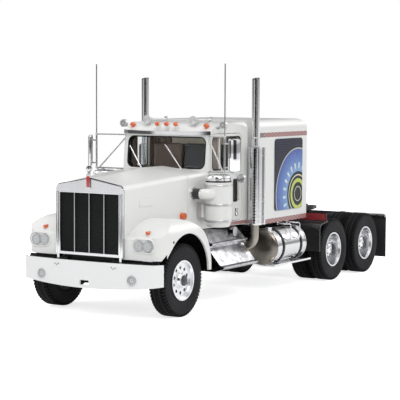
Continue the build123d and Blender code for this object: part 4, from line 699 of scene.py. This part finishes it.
cab_white = body_paint("cab_white")
wire(cab_white, print_band(cab_white, colour_of(cab_white), 48.3, 50.5, 57.0, 60.0))
dress(cab_white, "cab_shell")
dress(body_paint("door_white"), "door_left", "door_right")
seat_dark = moulded("seat_dark", (0.13, 0.13, 0.137), gloss=0.55, shade=0.3, grain=900.0, bumps=0.3, shine=0.25)
dress(seat_dark, "dashboard", "steering_wheel")

# The lining of the cab. Brown panels cover its walls, a beige headliner its roof, and a beige
# header and brown curtains of moulded styrene frame the way to the sleeper.
lining = copy_to(node["cab_shell"], "cab_lining", Vector((0, 0, 0)))
take(lining)
take_all()
bpy.ops.mesh.remove_doubles(threshold=0.000001)
cab_front, cab_half, cab_widening = 54.4, 32.3, 0.1129
cab_middle = Vector((0, 75.2 - row_zero, 80))


def faces_out(centre, normal):
    """Whether a face belongs to the outside of the cab and not to its lining."""
    behind = centre.y + row_zero
    half = cab_half + (behind - cab_front) * cab_widening
    if behind < 56.0 or behind > 94.9 or abs(centre.x) > half - 1.2 or centre.z > 113.9:
        return True
    return (cab_middle - centre).dot(normal) < 0.05


select_faces(faces_out)
bpy.ops.mesh.delete(type="FACE")
take_all()
bpy.ops.transform.shrink_fatten(value=0.00008)
done()
cabin_brown = moulded("cabin_brown", (0.44, 0.33, 0.27), gloss=0.5, shade=0.3, grain=900.0, bumps=0.3)
x, y, z = sides_of(cabin_brown)
wire(cabin_brown, over(z > 105.6, colour_of(cabin_brown), (0.72, 0.64, 0.53)))
fit_to(lining, "chassis", cabin_brown)
header = block("cab_header", (-19.5, 33.0), (93.2, 94.3), (99.2, 109.0), 0.3)
header_beige = moulded("header_beige", (0.86, 0.79, 0.67), gloss=0.5, shade=0.15, grain=900.0, bumps=0.3)
fit_to(header, "chassis", header_beige)
folds = [block("fold", span, (92.4, 94.2), (54.0, 108.0), 0.8, 3)
         for span in ((-34.6, -32.4), (-32.2, -30.2), (-27.0, -23.4), (-23.2, -19.8), (23.0, 26.6), (27.0, 31.0))]
curtain_brown = moulded("curtain_brown", (0.25, 0.185, 0.15), gloss=0.6, shade=0.35, grain=700.0, bumps=0.3)
fit_to(join("cab_curtains", folds), "chassis", curtain_brown)

# The seats. Each is one hard moulding, a cushion and a tall back with rounded corners and a
# shallow sunk panel, the driver's in charcoal and the companion's in brown.
seat_middle, seat_half, base_half = 11.8, 10.9, 8.5
seat_parts = []
for side, paint in ((1, seat_dark), (-1, curtain_brown)):
    middle = side * seat_middle
    seat_span = (middle - seat_half, middle + seat_half)
    cushion = block("cushion", seat_span, (65.1, 76.5), (60.2, 66.9), 2.0, 4)
    base = block("base", (middle - base_half, middle + base_half), (67.0, 76.0), (49.6, 61.5), 1.0, 2)
    back = block("back", seat_span, (73.9, 78.4), (62.0, 100.3), 2.1, 4)
    select_faces(lambda centre, normal: normal.y < -0.95)
    bpy.ops.mesh.inset(thickness=0.0014)
    bpy.ops.transform.translate(value=(0, 0.0005, 0))
    done()
    lean_about(back, place_at(0, 76, 66), math.radians(-3.0), "X")
    seat = join("seat", [cushion, base, back])
    seat.data.materials.clear()
    seat.data.materials.append(paint)
    seat_parts.append(seat)
seats = join("moulded_seats", seat_parts)
bpy.ops.object.shade_smooth_by_angle(angle=math.radians(38))
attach(seats, "chassis")
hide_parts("seats")

# The glass. Clear styrene panes are held in black rubber gaskets, one round the windshield and
# one round each door window, with a pleated brown shade in each vent window; thin plated wipers
# lie over the windshield.
clear_glass = bpy.data.materials.new("clear_glass")
clear_glass.use_nodes = True
tree = clear_glass.node_tree
ripple = cloud(tree, 220.0)
relief = put(tree, "Bump", {"Strength": 0.03, "Distance": 0.0001, "Height": ripple}).outputs[0]
look = feed(tree, tree.nodes["Principled BSDF"], {
    "Normal": relief, "Roughness": ramp(ripple, 0, 1, 0.0, 0.05), "Base Color": (0.90, 0.92, 0.92, 1),
    "Transmission Weight": 1.0, "IOR": 1.12}).outputs[0]
no_shadow = put(tree, "BsdfTransparent", {"Color": (0.95, 0.95, 0.95, 1)}).outputs[0]
shadow_ray = put(tree, "LightPath").outputs["Is Shadow Ray"]
through = put(tree, "MixShader", {0: shadow_ray, 1: look, 2: no_shadow}).outputs[0]
feed(tree, tree.nodes["Material Output"], {"Surface": through})
dress(clear_glass, "windshield", "door_glass_left", "door_glass_right")
rubber = moulded("gasket_rubber", (0.008, 0.008, 0.008), gloss=0.5, shade=0.2, shine=0.25)
rake = math.atan2(2.4, 23.2)
for name, sizes, behind in (("windshield_gasket", (59.4, 20.6, 4.3, 0.8, 0.9), 55.35),
                            ("windshield_return", (60.2, 21.0, 4.6, 0.7, 3.6), 56.9)):
    fit_to(stand(rounded_frame(name, *sizes), place_at(0, behind, 95.2), -rake, "X"), "chassis", rubber)
flare = math.atan2(37.0 - cab_half, 41.6)
wall_turn = math.pi / 2 - flare


def by_wall(side, along, out, z):
    """A point beside a cab wall, in mm along it from the front corner, straight out and up."""
    return place_at(side * (cab_half + along * math.sin(flare) + out), cab_front + along * math.cos(flare), z)


for side, hand in hands:
    gasket = rounded_frame(f"door_gasket_{hand}", 30.6, 21.6, 2.8, 0.85, 0.5)
    stand(gasket, by_wall(side, 19.3, 0.15 * math.cos(flare), 94.8), side * wall_turn)
    fit_to(gasket, f"door_{hand}_body", rubber)
first_pleat, pleat_pitch, pleat_twist = 6.6, 1.7, 0.25
for side, hand in hands:
    pleats = []
    for number in range(6):
        pleat = block("pleat", (-0.95, 0.95), (row_zero - 0.35, row_zero + 0.35), (84.9, 105.0), 0.3)
        twist = pleat_twist if number % 2 else -pleat_twist
        spot = by_wall(side, first_pleat + pleat_pitch * number, -2.3, 0)
        pleats.append(stand(pleat, spot, side * wall_turn + twist))
    fit_to(join(f"vent_shade_{hand}", pleats), f"door_{hand}_body", curtain_brown)
dress(chrome, "wipers")

# The visor, horns, marker lamps and spot lamps on the roof. Visor and horns are chrome plated,
# the five marker lamps are amber bullets on white feet, and the round spot lamps are grey.
roof_amber = moulded("roof_amber", (0.78, 0.13, 0.022), gloss=0.2, shade=0.25, coat=0.5)
x, y, z = sides_of(roof_amber)
feet = between(x, -16.0, 16.0) & ((y > 56.3) & (z < 113.35) | (z < 111.9))
wire(roof_amber, over(feet, colour_of(roof_amber), (0.74, 0.74, 0.72)))
dress(roof_amber, "roof_lamps")
dress(moulded("visor_chrome", (0.88, 0.88, 0.895), gloss=0.10, shade=0.08, spread=0.04, bumps=0.05, metal=1.0),
      "sun_visor")
dress(moulded("horn_silver", (0.66, 0.66, 0.66), gloss=0.42, shade=0.15, metal=0.55), "air_horns")
spot_grey = moulded("spot_grey", (0.36, 0.37, 0.37), gloss=0.28, shade=0.2, metal=0.5, coat=0.3)
x, y, z = sides_of(spot_grey)
spot_x, spot_z = 38.0, 113.0
out = distance(abs(x) - spot_x, z - spot_z)
wire(spot_grey, banded(out, colour_of(spot_grey), ((2.0, 2.9, 0.12, (0.62, 0.63, 0.63)),
                                                   (-1.0, 0.6, 0.3, (0.62, 0.63, 0.64)))))
dress(spot_grey, "spot_lamps")

# The mirrors and aerials. Plated rods brace each post to the cab, with a tall mirror turned
# towards the driver, a small round one below, and a whip aerial on top.
dress(moulded("rod_chrome", (0.62, 0.62, 0.63), gloss=0.2, shade=0.12, spread=0.05, bumps=0.05, metal=1.0), "mirrors")
mirror_turn = math.radians(59)
cut_count, cut_pitch = 7, 0.0009
for side, hand in hands:
    shell = block(f"mirror_shell_{hand}", (-4.15, 4.15), (row_zero - 1.15, row_zero + 1.15), (-10.3, 10.3), 1.05, 3)
    for number in range(cut_count):
        take_all()
        bpy.ops.mesh.bisect(plane_co=((number - cut_count // 2) * cut_pitch, 0, 0), plane_no=(1, 0, 0))
    done()
    for reach, rise in ((2.6, 0.08), (1.7, 0.145), (0.8, 0.085)):
        for way in (-1, 1):
            select_faces(lambda centre, normal: normal.y * way > 0.5 and abs(centre.x) < reach)
            bpy.ops.transform.translate(value=(0, way * rise / 1000, 0))
            done()
    stand(shell, place_at(side * 54.6, 48.8, 94.9), side * mirror_turn)
    fit_to(shell, "chassis", chrome)

# The air cleaners. White canisters with rolled bands stand beside the cowl on plated brackets,
# each under a plated rain cap, and a ribbed black hose between plated clamps feeds the hood.
canister_x, canister_behind = 43.2, 49.0
canister_white = body_paint("canister_white")
x, y, z = sides_of(canister_white)
wire(canister_white, over(abs(x) < 35.4, colour_of(canister_white), (0.46, 0.42, 0.43)))
dress(canister_white, "air_cleaners")
intake_paint = body_paint("intake_white")
x, y, z = sides_of(intake_paint)
wide = abs(x)
beside_hood = y < 41.0
hose = between(wide, 33.2, 38.2) & beside_hood
plated = (z > 78.2) | (between(wide, 29.0, 33.2) | between(wide, 38.2, 39.4)) & beside_hood
colour = over(plated, colour_of(intake_paint), (0.9, 0.9, 0.91))
ribs = (wide * 5.2).step("SINE")
wire(intake_paint, over(hose, colour, (0.014, 0.015, 0.016)), ramp(hose, 0, 1, 0.2, 0.5), plated, ribs * hose)
intake_paint.node_tree.nodes["relief"].inputs["Strength"].default_value = 0.5
dress(intake_paint, "intake_pipes")


def on_canisters(name, outline, steps, heights, turn=90):
    """Turn a ring on the lathe and set it level on both canisters at every height."""
    return turned(name, outline, steps, [(place_at(side * canister_x, canister_behind, height), turn)
                                         for side in (-1, 1) for height in heights], "Y")


bands = on_canisters("hoop", [(-0.7, 8.45), (-0.7, 8.75), (-0.3, 8.95), (0.0, 8.7), (0.3, 8.95), (0.7, 8.75),
                              (0.7, 8.45), (-0.7, 8.45)], 48, (54.0, 64.0))
bands += on_canisters("lip", [(-0.3, 8.3), (-0.3, 8.95), (0.0, 9.1), (0.3, 8.95), (0.3, 8.3), (-0.3, 8.3)], 48, [76.2])
# Painted shade: a black ring under each rain cap fills the gap where shade falls.
cap_shadow = on_canisters("dark", [(-0.5, 7.6), (-0.5, 8.05), (0.5, 8.05), (0.5, 7.6), (-0.5, 7.6)], 48, [78.4])
bowls = on_canisters("bowl", [(-3.2, 0.0), (-3.4, 4.5), (-3.0, 7.0), (-1.6, 7.8), (0.6, 7.9), (0.6, 0.0)], 40, [53.2],
                     -90)
fit_to(join("canister_bands", bands), "chassis", lamp_silver)
fit_to(join("cap_shadow_rings", cap_shadow), "chassis", chassis_black)
fit_to(join("canister_bowls", bowls), "chassis", canister_white)


# The doors. White leaves in the cab sides, each with a plated oval pull set round a dark well
# that is glued to the wall.
def on_wall(side, along, out, z):
    """A point off a cab wall, in mm along it from the front corner, square out from it and up."""
    return by_wall(side, along, out * math.cos(flare), z) - Vector((0, out * math.sin(flare), 0)) / 1000


pull_along, pull_z = 30.2, 56.4
pull_tall = 1.75
for side, hand in hands:
    well = block(f"pull_well_{hand}", (-1.5, 1.5), (row_zero - 0.2, row_zero + 0.2), (-2.4, 2.4), 0.2)
    stand(well, on_wall(side, pull_along, 0.15, pull_z), side * wall_turn)
    fit_to(well, f"door_{hand}_body", cap_dark)
    pull = turn_on_lathe(f"door_pull_{hand}", [(-0.2, 0.75), (0.35, 0.8), (0.5, 1.0), (0.35, 1.25), (-0.2, 1.35),
                                               (-0.2, 0.75)], 28)
    pull.data.transform(Matrix.Diagonal((1.0, 1.0, pull_tall, 1.0)))
    stand(pull, on_wall(side, pull_along, 0.55, pull_z), math.radians(half_turn[side]) - side * flare)
    fit_to(pull, f"door_{hand}_body", chrome)

# The sleeper. A tall white box with rounded roof edges, printed with bands of squares at its
# top and foot; a framed printed panel is let into each side, and a white boot joins it to the cab.
sleeper_white = body_paint("sleeper_white")
colour = print_band(sleeper_white, colour_of(sleeper_white), 103.9, 107.0, 107.4, 112.2)
wire(sleeper_white, print_band(sleeper_white, colour, 46.3, 49.4, 103.0, 103.0))
dress(sleeper_white, "sleeper_shell")
dress(body_paint("boot_white"), "sleeper_boot")
panel_print = moulded("panel_print", (0.010, 0.010, 0.014), gloss=0.3, shade=0.1, bumps=0.05, shine=0.25)
x, y, z = sides_of(panel_print)
disc_behind, disc_z = 160.5, 64.0
disc_inner, disc_outer = 15.5, 31.0
ahead, up = y - disc_behind, z - disc_z
out = distance(ahead, up)
fade = put(panel_print.node_tree, "ValToRGB", {0: ramp(out, disc_inner, disc_outer)})
fade.color_ramp.elements[0].color = (0.24, 0.38, 0.62, 1)
fade.color_ramp.elements[1].color = (0.075, 0.115, 0.36, 1)
fade.color_ramp.elements.new(0.45).color = (0.14, 0.235, 0.50, 1)
lattice = ((y + z) * 1.9).step("SINE") * ((y - z) * 1.9).step("SINE")
colour = over((lattice > 0.25) & (out > 33.0), colour_of(panel_print), (0.030, 0.033, 0.085))
colour = banded(out, colour, ((disc_inner, disc_outer, 0.15, fade.outputs["Color"]),
                              (disc_outer, 31.8, 0.12, (0.55, 0.56, 0.50)), (12.6, 13.4, 0.12, (0.72, 0.72, 0.55)),
                              (8.0, 10.6, 0.12, (0.50, 0.58, 0.13)), (4.6, 5.2, 0.12, (0.60, 0.62, 0.50))))
rays = (up.step("ARCTAN2", ahead) * 22.0).step("SINE") > 0.55
wire(panel_print, over(rays & between(out, 17.5, 21.5, 0.3), colour, (0.60, 0.68, 0.72)))
dress(panel_print, "side_panels")
panel_rims = [stand(rounded_frame("rim", 40.6, 49.3, 2.9, 0.8, 0.9), place_at(side * 40.2, 147.25, 78.3), math.pi / 2)
              for side in (-1, 1)]
fit_to(join("panel_rims", panel_rims), "chassis", lamp_silver)

# The exhaust. Plated stacks with slashed tips rise beside the cab behind perforated heat shields,
# clamped to brackets on the sleeper, over bare elbows that turn in to the frame.
stack_x, stack_behind = 43.0, 96.0
hole_rise, hole_pitch, shield_radius = 0.8, 0.92, 4.6
stack_chrome = moulded("stack_chrome", (0.80, 0.80, 0.81), gloss=0.12, shade=0.12, spread=0.05, bumps=0.1, metal=1.0)
x, y, z = sides_of(stack_chrome)
across, along = abs(x) - stack_x, y - stack_behind
angle = along.step("ARCTAN2", across)
on_shield = (distance(across, along) > 4.0) & between(z, 48.6, 97.2)
row = z / hole_rise
lane = angle * shield_radius / hole_pitch + row.step("FLOOR").step("MODULO", 2.0) * 0.5
hole = distance(row.step("FRACT") - 0.5, lane.step("FRACT") - 0.5)
holes = (hole < 0.24) & on_shield
# Painted reflection: a dark zigzag column of slots down each shield stands in for dark surroundings mirrored in the
# chrome.
teeth = ((z / 1.9).step("FRACT") > 0.5) * 0.10
slotted_reflection = (abs(angle + 1.17) < teeth + 0.08) & on_shield
colour = over(holes, colour_of(stack_chrome), (0.16, 0.16, 0.165))
wire(stack_chrome, over(slotted_reflection, colour, (0.015, 0.015, 0.016)), ramp(holes | slotted_reflection, 0, 1, 0.14, 0.6))
dress(stack_chrome, "exhaust_stacks")
dress(moulded("pipe_steel", (0.50, 0.46, 0.40), gloss=0.36, shade=0.3, metal=0.85), "exhaust_elbows")
clamps = turned(
    "hoop", [(-0.45, 2.4), (-0.45, 2.75), (-0.2, 3.0), (0.2, 3.0), (0.45, 2.75), (0.45, 2.4), (-0.45, 2.4)], 32,
    [(place_at(side * stack_x, stack_behind, clamp_z), 90) for side in (-1, 1) for clamp_z in (98.6, 104.2)], "Y")
for side in (-1, 1):
    for bolt_z in (52.5, 62.8, 92.8):
        clamps.append(head_of("bolt", place_at(side * 47.2, 101.3, bolt_z), (side * 0.3, 1, 0), 0.75, 1.0, sides=8))
        clamps.append(head_of("bolt", place_at(side * 46.6, 99.6, bolt_z), (side, -0.2, 0), 0.6, 1.2, sides=8))
fit_to(join("stack_clamps", clamps), "chassis", lamp_silver)

# The steps. Plated boxes of tread plate hang below the cab, with raised diamonds on their treads
# and faces, black ends, and a small plated canister on the rear of each.
tread_plate = moulded("tread_plate", (0.60, 0.60, 0.62), gloss=0.2, shade=0.15, spread=0.06, bumps=0.8, metal=1.0)
x, y, z = sides_of(tread_plate)
slope = abs(x) - z
lozenge = ((y + slope) * 2.3).step("SINE") * ((y - slope) * 2.3).step("SINE")
raised = ramp(lozenge, 0.15, 0.5)
# Painted shade: darker random patches, kept to the low flats between the raised diamonds.
patchy_flat_shade = ramp(cloud(tread_plate.node_tree, 160.0, 4.0), 0.45, 0.62) * 0.75 * (1.0 - raised)
colour = over(patchy_flat_shade, colour_of(tread_plate), (0.16, 0.16, 0.17))
wire(tread_plate, over(abs(facing_of(tread_plate)[1]) > 0.9, colour, (0.012, 0.012, 0.012)), height=raised)
dress(tread_plate, "step_boxes")

# The fuel tanks. Polished drums with a burnished dome at the front, hung in black straps, with
# a plated tread rail below, a filler cap on top and a rolled seam at each end.
tank_x, tank_z = 36.0, 30.4
tank_chrome = moulded("tank_chrome", (0.74, 0.74, 0.755), gloss=0.15, shade=0.12, spread=0.06, bumps=0.08, metal=1.0)
dress(tank_chrome, "fuel_tanks")
burnished = moulded("burnished_steel", (0.34, 0.305, 0.265), gloss=0.33, shade=0.5, spread=0.12, metal=1.0)
domes = turned("dome", [(-0.4, 12.1), (0.0, 11.9), (1.0, 10.6), (1.9, 8.0), (2.5, 4.5), (2.7, 0.0)], 56,
               [(place_at(side * tank_x, 118.3, tank_z), -90) for side in (-1, 1)])
seams = turned("seam", [(-0.5, 12.0), (-0.5, 12.3), (-0.2, 12.55), (0.2, 12.55), (0.5, 12.3), (0.5, 12.0),
                        (-0.5, 12.0)], 56,
               [(place_at(side * tank_x, behind, tank_z), 90) for side in (-1, 1) for behind in (119.2, 158.8)])
seams += turned("filler", [(-1.0, 2.2), (0.6, 2.2), (0.7, 2.5), (1.4, 2.5), (1.7, 2.2), (1.8, 0.0)], 24,
                [(place_at(side * 39.0, 121.8, 41.9), -90) for side in (-1, 1)], "Y")
fit_to(join("tank_domes", domes), "chassis", burnished)
fit_to(join("tank_seams", seams), "chassis", tank_chrome)
strap_paint = moulded("strap_black", (0.011, 0.011, 0.012), gloss=0.4, shade=0.3)
x, y, z = sides_of(strap_paint)
wide = abs(x)
off_tank = distance(wide - tank_x, z - tank_z) > 12.95
plated = between(z, 18.2, 19.8) & (wide > 41.8) | (wide > 38.9) & (z > 34.2) & off_tank
wire(strap_paint, over(plated, colour_of(strap_paint), (0.78, 0.78, 0.79)), ramp(plated, 0, 1, 0.42, 0.2), plated)
dress(strap_paint, "tank_brackets")

# Behind the sleeper: black quarter fenders with a blank red name board, a black tool box, the
# greased fifth wheel, and at the tail red lamps and black rubber flaps on plated hangers.
dress(moulded("board_red", (0.30, 0.035, 0.04), gloss=0.35, shade=0.2), "name_boards")
board_frames = [stand(rounded_frame("edge", 26.0, 5.8, 0.6, 0.45, 0.5), place_at(side * 37.8, 184.15, 46.3))
                for side in (-1, 1)]
fit_to(join("board_frames", board_frames), "chassis", chassis_black)
dress(moulded("fifth_black", (0.020, 0.020, 0.021), gloss=0.33, shade=0.5, spread=0.15, metal=0.3),
      "fifth_wheel_plate")
dress(moulded("flap_black", (0.014, 0.014, 0.016), gloss=0.55, shade=0.3), "mudflaps")
tail_paint = moulded("tail_black", (0.011, 0.011, 0.012), gloss=0.4, shade=0.3)
x, y, z = sides_of(tail_paint)
hanger = abs(x) > 17.6
tail_lamp = (abs(x) < 12.2) & (y > 281.6)
colour = over(hanger, colour_of(tail_paint), (0.85, 0.85, 0.86))
wire(tail_paint, over(tail_lamp, colour, (0.42, 0.012, 0.012)), ramp(hanger | tail_lamp, 0, 1, 0.42, 0.18), hanger)
dress(tail_paint, "rear_light_bar")
